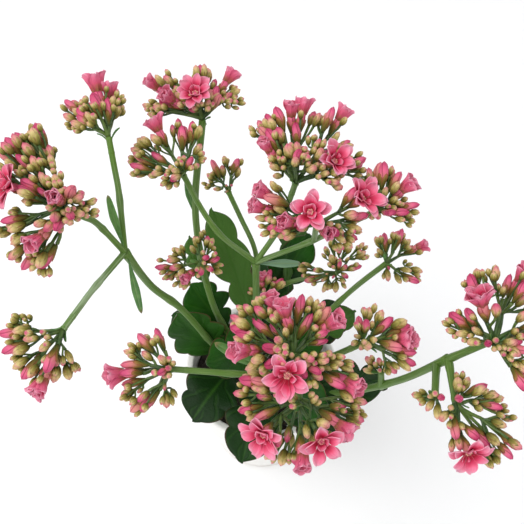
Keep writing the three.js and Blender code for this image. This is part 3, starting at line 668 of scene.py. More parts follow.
def leaf_finish(leaf):
    """Thick glossy leaves: dark green, lighter by the midrib, with a red brown margin, and painted shade that
    darkens the lower leaves.
    """
    f = Finish("leaf", specular_ior_level=0.17, coat_weight=0.04, coat_roughness=0.25)
    across, over, along = f.attribute("lie")
    tone, youth, _ = f.attribute("tint")
    place = f.place()
    _, _, height = f.split(place)
    patch = f.noise(place, 0.045, 3)
    side = abs(across)
    ribs = ((along * 26 - side * 9).maths("SINE") * 0.5 + 0.5) * f.step(side, 0.05, 0.2)
    old = f.stain(leaf.green, srgb(30, 84, 6), patch + tone * 0.15, 0.35, 0.8)
    # Painted shade: the leaves darken towards the soil below 135 mm, as if in the shade of the leaves above
    shaded = f.stain(old, srgb(12, 30, 8), height, 135, 85, 0.45)
    green = f.mix(youth, shaded, srgb(76, 116, 44))
    lit = f.stain(green, leaf.light, side + patch * 0.1, 0.16, 0.02, 0.5)
    veined = f.stain(lit, leaf.light, ribs, 0.86, 1, 0.17)
    under = f.stain(veined, srgb(84, 108, 72), over, -0.1, -0.6, 0.65)
    edge = f.step(side + patch * 0.06, 0.955, 1) * f.step(patch, 0.3, 0.6)
    margin = f.mix(edge * 0.6, under, leaf.margin)
    pores = f.cells(place, 1.7)
    f.bump(pores * 0.25 + f.step(ribs, 0.7, 1) * -0.5 + f.noise(place, 0.5, 3) * 0.6, 0.0004)
    return f.wear(base_color=margin, roughness=patch * 0.25 + 0.24 + pores * 0.08)


def bract_finish():
    """Small smooth blades of a paler, bluish green."""
    f = Finish("bract", specular_ior_level=0.35)
    across, _, along = f.attribute("lie")
    tone, blueness, _ = f.attribute("tint")
    patch = f.noise(f.place(), 0.25, 3)
    green = f.stain(srgb(66, 112, 50), srgb(96, 138, 70), patch + tone * 0.2, 0.3, 0.7)
    blue = f.mix(blueness * 0.7, green, srgb(128, 160, 134))
    midrib = f.stain(blue, srgb(132, 160, 98), abs(across), 0.2, 0.03, 0.4)
    tipped = f.stain(midrib, srgb(128, 92, 62), along, 0.9, 1, 0.7)
    f.bump(patch, 0.0003)
    return f.wear(base_color=tipped, roughness=patch * 0.2 + 0.3)


def soil_finish(soil):
    """Damp peat: nearly black clods with browner fibres."""
    f = Finish("peat")
    place = f.place()
    clods = f.noise(place, 0.35, 6, 0.65)
    drawn_out = f.node("ShaderNodeVectorMath", {"operation": "MULTIPLY"}, {0: place, 1: (0.3, 2.2, 1.2)})
    fibres = f.noise(drawn_out, 0.9, 3)
    dark = f.stain(srgb(28, 20, 15), soil.peat, clods, 0.35, 0.7)
    brown = f.stain(dark, srgb(104, 76, 50), fibres, 0.58, 0.75, 0.55)
    f.bump(clods + fibres * 0.4, 0.0016)
    return f.wear(base_color=brown, roughness=clods * 0.2 + 0.75)


def grit_finish():
    """Pale mineral grains."""
    f = Finish("grit")
    speckle = f.noise(f.place(), 1.2, 4)
    colour = f.stain(srgb(196, 190, 176), srgb(232, 229, 220), speckle, 0.35, 0.7)
    f.bump(speckle, 0.0005)
    return f.wear(base_color=colour, roughness=speckle * 0.2 + 0.7)


def glaze_finish(pot):
    """Off white satin glaze with faint throwing rings, a few specks and a bare foot."""
    f = Finish("glaze", specular_ior_level=0.5, coat_weight=0.25, coat_roughness=0.18)
    place = f.place()
    x, y, z = f.split(place)
    cloud = f.noise(place, 0.03, 4)
    rings = f.noise(f.vector(x * 0.02, y * 0.02, z * 0.75), 1, 2)
    specks = f.step(f.cells(place, 0.33), 0.1, 0.05) * f.step(f.noise(place, 0.21, 2), 0.5, 0.6)
    tinted = f.stain(pot.glaze, srgb(240, 237, 230), cloud, 0.3, 0.75, 0.5)
    speckled = f.mix(specks * 0.55, tinted, srgb(150, 128, 100))
    foot = f.stain(speckled, srgb(206, 190, 168), z + cloud * 0.6, 1.6, 0.7)
    f.bump(rings + cloud * 0.5, 0.0004)
    return f.wear(base_color=foot, roughness=cloud * 0.2 + 0.24 + f.step(z, 1.6, 0.7) * 0.35)


def floor_finish(stage):
    """A pale matt floor with faint clouds."""
    f = Finish("floor", roughness=0.7)
    cloud = f.noise(f.node("ShaderNodeTexCoord", out="Object"), 3, 2)
    return f.wear(base_color=f.stain(stage.floor, srgb(250, 250, 250), cloud, 0.3, 0.7, 0.3))


# Mesh making

CURVE_STEPS = 24


def smooth_path(points, steps):
    """Evenly spaced places on the centripetal curve through the given points."""
    points = [Vector(p) for p in points]
    guides = [2 * points[0] - points[1], *points, 2 * points[-1] - points[-2]]
    run = [points[0]]
    for before, start, end, after in zip(guides, guides[1:], guides[2:], guides[3:]):
        d0, d1, d2 = (math.sqrt((b - a).length) for a, b in ((before, start), (start, end), (end, after)))
        leave = ((start - before) / d0 - (end - before) / (d0 + d1) + (end - start) / d1) * d1
        arrive = ((end - start) / d1 - (after - start) / (d1 + d2) + (after - end) / d2) * d1
        run += interpolate_bezier(start, start + leave / 3, end - arrive / 3, end, CURVE_STEPS)[1:]
    return even_run(run, steps)


def even_run(run, steps):
    """The same line with its points spread evenly."""
    marks = [0.0]
    for a, b in zip(run, run[1:]):
        marks.append(marks[-1] + (b - a).length)
    places = []
    i = 0
    for step in range(steps + 1):
        mark = marks[-1] * step / steps
        while i < len(run) - 2 and marks[i + 1] < mark:
            i += 1
        places.append(run[i].lerp(run[i + 1], (mark - marks[i]) / (marks[i + 1] - marks[i])))
    return places


def stem_path(name, steps=56):
    (x, y), *rest = STEMS[name][1]
    return smooth_path([(x, y, STEM_START), (x, y, STEM_START + STEM_UPRIGHT), *rest], steps)


def branch_path(name, steps=26):
    *points, tip = (Vector(p) for p in BRANCHES[name])
    foot = tip - (tip - points[-1]).normalized() * NECK_LENGTH
    return smooth_path([*points, points[-1].lerp(foot, 0.5), foot], steps)


def frames_along(path):
    """At each place on a path: the place and two directions across it."""
    ways = [(b - a).normalized() for a, b in zip(path, path[1:])]
    ways = [ways[0], *((a + b).normalized() for a, b in zip(ways, ways[1:])), ways[-1]]
    across = ways[0].orthogonal().normalized()
    frames = []
    for place, way in zip(path, ways):
        across = (across - across.dot(way) * way).normalized()
        frames.append((place, across, way.cross(across)))
    return frames


def facing(place, way, roll):
    """A matrix whose +Z runs along `way` from `place`, turned by `roll` round it."""
    turn = Vector((0, 0, 1)).rotation_difference(way) @ Quaternion((0, 0, 1), roll)
    return Matrix.Translation(place) @ turn.to_matrix().to_4x4()


def bell(distance, width):
    """1 at no distance, falling off smoothly to both sides."""
    return math.exp(-((distance / width) ** 2))


def ease(share):
    """A smooth rise from 0 to 1."""
    return share * share * (3 - 2 * share)


def mesh_from(name, making):
    """A plain mesh from one in the making, which it uses up."""
    data = bpy.data.meshes.new(name)
    making.to_mesh(data)
    making.free()
    return data


def add_object(name, data):
    """A new object in the scene, at its origin."""
    made = bpy.data.objects.new(name, data)
    bpy.context.scene.collection.objects.link(made)
    return made


def drawn(rng, count=3):
    """Numbers scattered round 0, for a direction with no bias."""
    return [rng.gauss(0, 1) for _ in range(count)]


def petal_outline(along, widest):
    """Half width of a petal at a share of its length, as a share of its greatest half width: it has
    a claw, a broad blade and a round tip."""
    if along < widest:
        return 0.3 + 0.7 * ease(along / widest)
    return max(0.1, max(0.0, 1 - ((along - widest) / (1 - widest)) ** 1.9) ** 0.6)


class Piece:
    """A mesh in the making, in millimetres. Its shapes are made in small batches, because making
    one in a big mesh is slow."""

    BATCH = 600

    def __init__(self, name):
        self.name = name
        self.batches = []
        self.begin_batch()

    def begin_batch(self):
        self.mesh = bmesh.new()
        self.lie = self.mesh.verts.layers.float_vector.new("lie")
        self.tint = self.mesh.verts.layers.float_vector.new("tint")

    def end_batch(self):
        """Sets the shapes made so far aside until the piece is finished."""
        self.batches.append(mesh_from(self.name + "_batch", self.mesh))
        self.begin_batch()

    def limit_batch(self):
        if len(self.mesh.verts) > self.BATCH:
            self.end_batch()

    def wrap(self, sides, rings, shape, look=0, tint=(0, 0, 0)):
        """A closed skin of rings from pole to pole. `shape` gives each corner's place and lie from
        its ring's number and its turn round the axis with its cosine and sine, and `look` picks
        the finish."""
        self.limit_batch()
        skin = bmesh.ops.create_uvsphere(self.mesh, u_segments=sides, v_segments=rings, radius=1)["verts"]
        for corner in skin:
            ring = round(rings * math.acos(max(-1.0, min(1.0, -corner.co.z))) / math.pi)
            turn = math.atan2(corner.co.y, corner.co.x)
            corner.co, corner[self.lie] = shape(ring, turn, math.cos(turn), math.sin(turn))
            corner[self.tint] = Vector(tint)
        self.dress(skin, look)

    def dress(self, corners, look):
        for face in {face for corner in corners for face in corner.link_faces}:
            face.material_index = look
            face.smooth = True

    def tube(self, path, radii, sides, look, tint):
        """A round rod along a path, with a radius for each of its places."""
        frames = frames_along(path)
        marks = [0.0]
        for a, b in zip(path, path[1:]):
            marks.append(marks[-1] + (b - a).length)

        def shape(ring, turn, x, y):
            at = min(max(ring - 1, 0), len(path) - 1)
            place, across, up = frames[at]
            radius = radii[at] if 0 < ring <= len(path) else 0.0
            x, y = radius * x, radius * y
            return place + across * x + up * y, Vector((x, y, marks[at]))

        self.wrap(sides, len(path) + 1, shape, look, tint)

    def blade(self, base, tip, width, thickness, upper, arch, fine, edge=None, look=0, tint=(0, 0, 0)):
        """A leaf-like blade: its halves fold up from the midrib and its middle arches. `fine` is its
        sides and rings. `edge` gives how far the outline falls back at a share of the length on one
        side."""
        base, tip = Vector(base), Vector(tip)
        sides, rings = fine
        length = (tip - base).length
        forward = (tip - base).normalized()
        side = forward.cross(Vector(upper)).normalized()
        up = side.cross(forward)
        fold, groove_depth, groove_width, waves, round_part = 0.16, 0.22, 0.09, 0.018, 0.1

        def shape(ring, turn, across, over):
            along = ring / rings
            spread = min(1.0, 0.18 + 1.4 * along)
            rounding = math.sqrt(max(0.0, 1 - max(0.0, (along - (1 - round_part)) / round_part) ** 2))
            half = width / 2 * spread * rounding * math.sqrt(math.sin(math.pi * (0.12 + 0.84 * along)))
            notch = edge(along, across) if edge else 0.0
            half = max(half - notch * min(1.0, half / 4), 0.0)
            thick = thickness / 2 * math.sqrt(rounding) * (1.25 if along < 0.1 else 1.0)
            groove = groove_depth * thickness * bell(across, groove_width) if over > 0 else 0.0
            lift = fold * abs(across) * half + arch * math.sin(math.pi * 0.9 * along)
            ripple = waves * width * across**2 * math.sin(14 * along + 3 * across + 40 * tint[0])
            height = over * thick + lift + ripple - groove
            if ring in (0, rings):
                half = 0.0
                height = lift
            place = base + forward * (along * length) + side * (across * half) + up * height
            return place, Vector((across, over, along))

        self.wrap(sides, rings, shape, look, tint)

    def petal(self, spot, size, bend, cup, rng, tint, fine):
        """One petal as a thin curved sheet, standing at `spot` and leaning out along its +Y.
        `size` is its length and width, `bend` its lean at the foot and how that changes along it
        and at its tip, `cup` how far its sides curl in, and `fine` its parts across and along."""
        length, width = size
        lean, flare, curl_back = bend
        wide, tall = fine
        openness = tint[1]
        sheet = bmesh.ops.create_grid(self.mesh, x_segments=wide, y_segments=tall, size=1)["verts"]
        shares = [1 - (1 - row / tall) ** 1.4 for row in range(tall + 1)]
        rows = [(Vector((0, 0, 0)), lean)]
        for low, high in zip(shares, shares[1:]):
            middle = (low + high) / 2
            angle = lean + flare * middle + curl_back * middle**4
            way = Vector((0, math.sin(angle), math.cos(angle)))
            rows.append((rows[-1][0] + way * length * (high - low), angle))
        phase = rng.uniform(0, 6)
        skew = rng.uniform(-0.1, 0.1)
        widest = 0.62 - 0.06 * openness
        ruffle = (0.13 - 0.05 * openness) * width
        for corner in sheet:
            across = corner.co.x
            row = round((corner.co.y + 1) / 2 * tall)
            along = shares[row]
            place, angle = rows[row]
            half = width / 2 * petal_outline(along, widest)
            inward = Vector((0, -math.cos(angle), math.sin(angle)))
            crease = 0.05 * width * bell(across, 0.3)
            ripple = ruffle * across * across * math.sin(7 * along + phase + 2 * across) * along
            sideways = across * half * (1 - 0.3 * cup * across * across) + skew * width * along * along
            lift = cup * half * across * across * 2 - crease + ripple
            corner.co = spot @ (place + Vector((sideways, 0, 0)) + inward * lift)
            corner[self.lie] = Vector((across, 0, along))
            corner[self.tint] = Vector(tint)

    def thicken(self, thickness):
        """Gives every open sheet made so far its second face and its edge."""
        made = bmesh.ops.solidify(self.mesh, geom=self.mesh.faces[:], thickness=thickness)
        for item in made["geom"]:
            if isinstance(item, bmesh.types.BMVert):
                item[self.lie] = item[self.lie] + Vector((0, 1, 0))
        self.dress(self.mesh.verts, 0)
        for edge in self.mesh.edges:
            edge.smooth = edge.calc_face_angle(0) < math.radians(50)

    def scatter(self, places, look, rng, low, high):
        """Small squashed crumbs at the given places, between two radii."""
        for place in places:
            self.limit_batch()
            crumb = bmesh.ops.create_icosphere(self.mesh, subdivisions=1, radius=1)["verts"]
            size = rng.uniform(low, high)
            squash = Matrix.Diagonal((size, size * rng.uniform(0.55, 1), size * rng.uniform(0.4, 0.8), 1))
            turn = Quaternion(drawn(rng, 4)).normalized()
            move = Matrix.Translation(place) @ turn.to_matrix().to_4x4() @ squash
            for corner in crumb:
                corner.co = move @ (corner.co * rng.uniform(0.75, 1.1))
            self.dress(crumb, look)

    def to_object(self):
        """Brings the mesh to metres and makes it an object."""
        for batch in self.batches:
            self.mesh.from_mesh(batch)
            bpy.data.meshes.remove(batch)
        bmesh.ops.transform(self.mesh, matrix=Matrix.Scale(MM, 4), verts=self.mesh.verts)
        bmesh.ops.recalc_face_normals(self.mesh, faces=self.mesh.faces)
        return add_object(self.name, mesh_from(self.name, self.mesh))

    def finish(self, finishes, slot, node):
        """Makes the object that stands for a node."""
        piece = self.to_object()
        for finish in finishes:
            piece.data.materials.append(finish)
        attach(piece, "root")
        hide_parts(node)
        return piece


# Sprigs

# Each kind's length from its stalk to the given point, greatest radius, room that its petals take
# beyond that, age from 0 to 1, radius of its stalk, and how strongly it turns to the near side
KINDS = {
    "opened": (10.0, 1.9, 1.0, 1.0, 0.75, 0.75),
    "funnel": (13.0, 2.2, 1.0, 1.0, 0.75, 0.0),
    "cup": (12.4, 2.25, 1.0, 1.0, 0.75, 0.45),
    "rosette": (12.2, 2.2, 0.0, 1.0, 0.72, 0.45),
    "bud": (11.8, 2.0, 0.0, 1.0, 0.68, 0.0),
    "medium": (7.2, 1.7, 0.0, 0.5, 0.56, 0.0),
    "young": (4.0, 1.25, 0.0, 0.1, 0.42, 0.0),
}
COLUMNS = [dict(zip(KINDS, column)) for column in zip(*KINDS.values())]
REACH, STOUTNESS, PETAL_ROOM, AGE, STALK_RADIUS, FORWARD_TURN = COLUMNS
BUDS = ("bud", "medium", "young")
STALK_STEPS = 6
HUB_RADIUS = 1.25
# Places along a bud or flower, as shares of its length, that are kept clear of its neighbours
MARKS = (0.15, 0.5, 0.85)

# Smaller buds that crowd beside each kind: their kind, how often, and how far off in millimetres
COMPANIONS = {
    "opened": (("bud", 0.6, 6.5), ("medium", 1.0, 6.5)),
    "funnel": (("bud", 0.8, 6.0), ("medium", 0.9, 5.8), ("young", 0.7, 5.6)),
    "cup": (("bud", 0.8, 5.6), ("medium", 0.9, 5.6), ("young", 0.7, 5.4)),
    "rosette": (("bud", 0.7, 5.2), ("medium", 0.8, 5.2), ("young", 0.6, 5.0)),
    "bud": (
        ("bud", 0.4, 4.4), ("medium", 1.0, 4.1), ("medium", 0.7, 4.4),
        ("young", 0.8, 3.6), ("young", 0.6, 3.8),
    ),
    "medium": (("medium", 0.6, 3.5), ("young", 1.0, 2.9), ("young", 0.8, 3.0), ("young", 0.5, 3.2)),
    "young": (("young", 1.0, 2.4), ("young", 0.7, 2.5)),
}
COMPANION_TRIES = 10

# Buds that fill a cluster: how near two neighbours stand, tries for each sprig and kinds to draw from
FILL_REACH = 14
FILL_TRIES = 8
FILL_KINDS = ("bud", "medium", "medium", "young")

# How far two sprigs may press into each other, and how far apart they are surely clear
CROWDING = 0.9
CLEAR = 16
# A small sprig forks from an older one no further off than this
FORK_REACH = 15


class Sprig:
    """One stalk with the bud or flower at its end."""

    def __init__(self, kind, tip, hub, neck_way, parent, rng):
        self.kind = kind
        self.seed = rng.random()
        self.tip = tip
        self.tone = rng.uniform(-1, 1)
        self.roll = rng.uniform(0, 2 * math.pi)
        self.size = rng.uniform(0.9, 1.1)
        jitter = Vector([rng.uniform(-1, 1) for _ in range(3)])
        outward = (tip - hub).normalized()
        if parent:
            root = parent.path[STALK_STEPS // 2]
            lean = (tip - root).normalized() + jitter * 0.2
            leave = parent.way
        else:
            root = hub
            forward = FORWARD_TURN[kind]
            lean = NEAR * forward if forward else neck_way * 0.12 + jitter * 0.1
            leave = (outward + neck_way * 0.25 + jitter * 0.15).normalized()
        self.way = (outward + lean).normalized()
        reach = min(REACH[kind] * self.size, 0.82 * (tip - root).length)
        self.size = reach / REACH[kind]
        self.foot = tip - self.way * reach
        self.marks = [self.foot.lerp(tip, share) for share in MARKS]
        pull = 0.4 * (self.foot - root).length
        end = self.foot + self.way * 0.5
        self.path = interpolate_bezier(root, root + leave * pull, end - self.way * pull, end, STALK_STEPS)
        swell = 0.0 if parent else 0.4
        shares = [1 - i / (STALK_STEPS - 1) for i in range(STALK_STEPS)]
        self.radii = [STALK_RADIUS[kind] * (1 + swell * share**1.5) for share in shares]
        self.radii[-1] *= 1.2

    def stand(self):
        """The matrix of the foot of the bud or flower, with +Z along it."""
        return facing(self.foot, self.way, self.roll) @ Matrix.Scale(self.size, 4)

    def has_room(self, others):
        """Whether this bud stays clear enough of other buds and flowers."""
        for other in others:
            near = (self.marks[1] - other.marks[1]).length
            if near < CLEAR:
                near = min((a - b).length for a in self.marks for b in other.marks)
            if near - STOUTNESS[self.kind] - STOUTNESS[other.kind] - PETAL_ROOM[other.kind] <= -CROWDING:
                return False
        return True


def neck_of(head):
    """Where a head leaves its carrier, and the carrier's radius and way there."""
    carrier, start, _ = HEADS[head]
    if carrier in STEMS:
        path, radius = stem_path(carrier), STEMS[carrier][0]
    else:
        path, radius = branch_path(carrier), BRANCH_RADIUS
    at = round(start * (len(path) - 1))
    return path[at], radius, (path[at] - path[at - 1]).normalized()


@functools.cache
def sprigs_of(head):
    """All the sprigs of a head, biggest kinds first, each smaller one forking from its nearest."""
    last, _, _ = neck_of(head)
    grown = []
    for number, (hub, sprigs) in enumerate(HEADS[head][2]):
        mine = []
        way = (hub - last).normalized()
        last = hub
        for kind, spots in sprigs.items():
            for i, (right, up, near) in enumerate(spots):
                rng = random.Random(f"{head} {number} {kind} {i}")
                tip = hub + RIGHT * right + UP * up + NEAR * near
                elders = [s for s in mine if s.kind not in (kind, "young")] if kind in BUDS[1:] else []
                nearest = min(elders, key=lambda s: (s.foot + s.way * 5 - tip).length, default=None)
                if nearest and (nearest.foot - tip).length > FORK_REACH:
                    nearest = None
                mine.append(Sprig(kind, tip, hub, way, nearest, rng))
        grown += mine
        grown += fillers_of(mine, grown, hub, way, random.Random(f"{head} {number} fill"))
        grown += companions_of(mine, grown, hub, way, random.Random(f"{head} {number}"))
    return grown


def fillers_of(mine, grown, hub, way, rng):
    """More buds between neighbours of a cluster, a little nearer its hub, wherever there is room."""
    added = []
    elders = [sprig for sprig in mine if sprig.kind != "young"]
    pairs = [(a, b) for a in elders for b in elders if a is not b and (a.tip - b.tip).length < FILL_REACH]
    for _ in range(FILL_TRIES * len(elders) if pairs else 0):
        one, other = rng.choice(pairs)
        jitter = Vector(drawn(rng))
        tip = hub.lerp(one.tip.lerp(other.tip, rng.uniform(0.25, 0.75)), rng.uniform(0.72, 0.98)) + jitter
        kind = rng.choice(FILL_KINDS)
        sprig = Sprig(kind, tip, hub, way, None if kind == "bud" else one, random.Random(rng.random()))
        if sprig.has_room(grown + added):
            added.append(sprig)
    return added


def companions_of(mine, grown, hub, way, rng):
    """Smaller buds crowded beside the given ones, wherever there is room among those grown."""
    added = []
    for elder in mine:
        for kind, chance, off in COMPANIONS[elder.kind]:
            for _ in range(COMPANION_TRIES if rng.random() < chance else 0):
                aside = Vector(drawn(rng)).normalized()
                tip = elder.tip + aside * off - elder.way * rng.uniform(0.6, 0.4 * REACH[elder.kind])
                sprig = Sprig(kind, tip, hub, way, elder, random.Random(rng.random()))
                inside = (tip - hub).length < (elder.tip - hub).length + 0.5
                if inside and sprig.has_room(grown + added):
                    added.append(sprig)
                    break
    return added


def foot_outline(share, slimness, peak):
    """Radius of a calyx that widens from its stalk, as a share of its greatest radius."""
    return slimness + (1 - slimness) * ease(min(1.0, share / peak))


def bud_outline(share, slimness, peak):
    """Radius of a bud at a share of its length, as a share of its greatest radius."""
    if share < peak:
        return foot_outline(share, slimness, peak)
    return max(0.0, 1 - ((share - peak) / (1 - peak)) ** 2.3) ** 0.55


# Sides and rings of the petals of each kind of bud, the shares of its length at which its sepals
# part and end, the slimness of its foot and the place of its greatest radius
BUD_SHAPES = {
    "bud": (12, 9, (0.4, 0.6), 0.36, 0.58),
    "medium": (8, 6, (0.46, 0.7), 0.44, 0.5),
    "young": (6, 5, (0.6, 0.86), 0.55, 0.5),
}
# The share of a bud's or a flower's length that is hidden in its calyx
HIDDEN = 0.2


def closed_bud(piece, sprig):
    """A closed bud: twisted petals in a calyx of four pointed sepals."""
    kind, rng = sprig.kind, random.Random(sprig.seed)
    sides, rings, rim, slimness, peak = BUD_SHAPES[kind]
    length, radius = REACH[kind], STOUTNESS[kind] * rng.uniform(0.84, 1.12)
    if kind == "young":
        length *= rng.uniform(0.8, 1.25)
    stand = sprig.stand()
    bend = Vector((rng.uniform(-1, 1), rng.uniform(-1, 1), 0)) * 0.07 * length
    twist = 0.0 if kind == "young" else 0.06
    tint = (sprig.tone, AGE[kind], 0)

    def outline(share):
        return radius * bud_outline(share, slimness, peak)

    def petals(ring, turn, x, y):
        share = HIDDEN + (1 - HIDDEN) * ring / rings
        edge = 0.0 if ring in (0, rings) else outline(share) * 0.97
        fold = 1 + twist * math.sin(4 * turn + 5 * share + 3 * sprig.tone)
        place = Vector((x * edge * fold, y * edge * fold, share * length)) + bend * share * share
        return stand @ place, Vector((x, y, share))

    piece.wrap(sides, rings, petals, 0, tint)
    calyx(piece, stand, length, outline, rim, tint, bend)


def calyx(piece, stand, length, outline, rim, tint, bend=Vector()):
    """Four sepals round the foot of a bud or flower, joined below. `rim` holds the shares of the
    length at which the sepals part and end."""
    sides, outer = (16, 5) if tint[1] > 0.8 else (8, 3)
    part, end = rim

    def sepals(ring, turn, x, y):
        peak = abs(math.cos(2 * turn)) ** 0.8
        share = (part + (end - part) * peak) * min(ring, outer) / outer
        edge = outline(share) * (1.03 + 0.05 * peak)
        if ring > outer:
            edge *= 0.6
            share -= 0.04
        if ring in (0, outer + 2):
            edge = 0.0
        place = Vector((x * edge, y * edge, share * length)) + bend * share * share
        return stand @ place, Vector((x, y, min(ring, outer) / outer))

    piece.wrap(sides, outer + 2, sepals, 1, tint)


# Rings of petals from the outside in: number, length and width as shares of the outer petal's
# length, parts across and along, then the lean, flare and curl of the tip in degrees, each of a
# closed and a fully open flower
PETAL_RINGS = [
    (5, 1.0, 0.66, (6, 8), (7, 74), (-6, 8), (38, 12)),
    (5, 0.94, 0.6, (6, 7), (4, 60), (-6, 8), (26, 10)),
    (5, 0.78, 0.48, (4, 6), (2, 40), (-4, 10), (16, 20)),
    (6, 0.3, 0.09, (2, 3), (4, 20), (0, 8), (0, 20)),
]
FLOWER_LENGTH = 11.0

# Least and greatest openness of each kind, the sizes of its outer and inner petals as shares, and how
# far below the given point its petals part in millimetres
FLOWER_SHAPES = {
    "opened": (0.76, 1.0, 0.92, 0.6, 0.8),
    "funnel": (0.12, 0.28, 0.9, 1.1, 3.9),
    "cup": (0.04, 0.14, 0.84, 1.1, 3.9),
    "rosette": (0.0, 0.06, 0.7, 0.95, 3.9),
}


def petal_rings(piece, sprig, flower):
    """The petals of one flower, leaning out as far as its kind is open."""
    rng = random.Random(sprig.seed)
    least, most, size, inner_size, below = FLOWER_SHAPES[sprig.kind]
    openness = rng.uniform(least, most)
    outer = flower.petal_length / MM * size
    inner_size *= rng.uniform(0.75, 1.0)
    stand = sprig.stand() @ Matrix.Translation((0, 0, REACH[sprig.kind] - below))
    for ring, (number, long, wide, fine, *bends) in enumerate(PETAL_RINGS):
        third = ring == 2
        offset = rng.uniform(0, 1)
        # An inner ring stands nearer the middle and lower
        start = Matrix.Translation((0, 1.65 - 0.35 * ring, -0.3 * ring))
        # Petals stray by some degrees, most in the third ring of an open flower, which also lacks some
        stray = 5 + 4 * (1 - openness) + 9 * openness * third
        cup = 0.18 + 0.2 * (1 - openness) ** 2 + 0.05 * ring
        for i in range(number):
            if third and openness > 0.6 and rng.random() < 0.3:
                continue
            turn = 2 * math.pi * (i + offset + rng.uniform(-0.14, 0.14)) / number
            spread = max(0.0, openness + rng.uniform(-0.12, 0.12) * openness)
            bend = []
            for shut, full in bends:
                bend.append(math.radians(shut + (full - shut) * spread + rng.uniform(-stray, stray)))
            length = outer * long * rng.uniform(0.86, 1.06) * (inner_size if ring > 1 else 1.0)
            width = outer * wide * rng.uniform(0.9, 1.08) * (1.22 - 0.22 * openness)
            tint = (sprig.tone + rng.uniform(-0.3, 0.3), openness, ring / 3)
            spot = stand @ Matrix.Rotation(turn, 4, "Z") @ start
            piece.petal(spot, (length, width), bend, cup, rng, tint, fine)


def flower_foot(piece, sprig):
    """The tube of petals and the calyx below an open or half open flower."""
    kind, stand, rings = sprig.kind, sprig.stand(), 6
    mouth = REACH[kind] - FLOWER_SHAPES[kind][4]

    def outline(share):
        return STOUTNESS[kind] * foot_outline(share, 0.36, 0.55)

    def tube(ring, turn, x, y):
        share = HIDDEN + (1 - HIDDEN) * min(ring, rings - 1) / (rings - 1)
        height = share * mouth
        edge = 0.0 if ring in (0, rings) else outline(height / FLOWER_LENGTH) * 0.86
        return stand @ Vector((x * edge, y * edge, height)), Vector((x, y, 0.34 + 0.4 * share))

    piece.wrap(12, rings, tube, 2, (sprig.tone, 1, 0))
    calyx(piece, stand, FLOWER_LENGTH, outline, (0.4, 0.64), (sprig.tone, 1, 0))


# Operators


class KALANCHOE_OT_pot(bpy.types.Operator):
    """Shapes the pot round its profile and drills the three drain holes in its floor"""

    bl_idname = "kalanchoe.pot"
    bl_label = "Make the pot"

    SIDES = 120
    FLOOR = 5
    BAND_HEIGHT = 15
    BAND_STEP = 1.6
    HOLES = 3
    HOLE_RADIUS = 2
    HOLE_CIRCLE = 18

    def profile(self, pot):
        """Radius and height from the middle of the underside round to the middle of the floor."""
        rim, base, top, wall = (v / MM for v in (pot.rim_radius, pot.base_radius, pot.height, pot.wall))
        band = top - self.BAND_HEIGHT
        bore = rim - wall - 0.6
        flare = rim - self.BAND_STEP - base

        def round_off(x, z, radius, start, end, steps):
            for i in range(steps + 1):
                angle = math.radians(start + (end - start) * i / steps)
                yield x + radius * math.cos(angle), z + radius * math.sin(angle)

        return [
            (0, 0.0), (base * 0.5, 0.0), (base - 3, 0.0),
            *round_off(base - 1.6, 1.6, 1.6, -90, -10, 5),
            *((base + flare * i / 12, 2.5 + (band - 3.5) * i / 12) for i in range(1, 13)),
            *round_off(rim - 1.5, band + 1.2, 1.5, -60, 0, 4),
            *round_off(rim - 1.8, top - 1.8, 1.8, 0, 90, 6),
            *round_off(bore + 1.6, top - 1.6, 1.6, 90, 180, 6),
            (bore, top - 6), (bore, SOIL_LEVEL), (base - wall + 3, self.FLOOR + 12),
            (base - wall - 1, self.FLOOR), (base * 0.4, self.FLOOR), (0, self.FLOOR),
        ]

    def execute(self, context):
        pot = context.scene.kalanchoe_pot
        points = self.profile(pot)
        piece = Piece("pot_body")

        def shape(ring, turn, x, y):
            radius, height = points[ring]
            return Vector((radius * x, radius * y, height)), Vector((x, y, height))

        piece.wrap(self.SIDES, len(points) - 1, shape)
        body = piece.finish([glaze_finish(pot)], "pot", "pot")
        drill = Piece("drill")
        rod = {"radius1": self.HOLE_RADIUS, "radius2": self.HOLE_RADIUS, "depth": 4 * self.FLOOR}
        for i in range(self.HOLES):
            turn = 2 * math.pi * i / self.HOLES
            at = Matrix.Translation((self.HOLE_CIRCLE * math.cos(turn), self.HOLE_CIRCLE * math.sin(turn), 0))
            bmesh.ops.create_cone(drill.mesh, cap_ends=True, segments=24, matrix=at, **rod)
        self.cut(context, body, drill.to_object())
        return {"FINISHED"}

    def cut(self, context, body, drill):
        """Cuts the drill's rods out of the pot and leaves a plain mesh."""
        modifier = body.modifiers.new("drain_holes", "BOOLEAN")
        modifier.operation = "DIFFERENCE"
        modifier.object = drill
        cut = bpy.data.meshes.new_from_object(body.evaluated_get(context.evaluated_depsgraph_get()))
        body.modifiers.clear()
        body.data = cut
        bpy.data.objects.remove(drill)


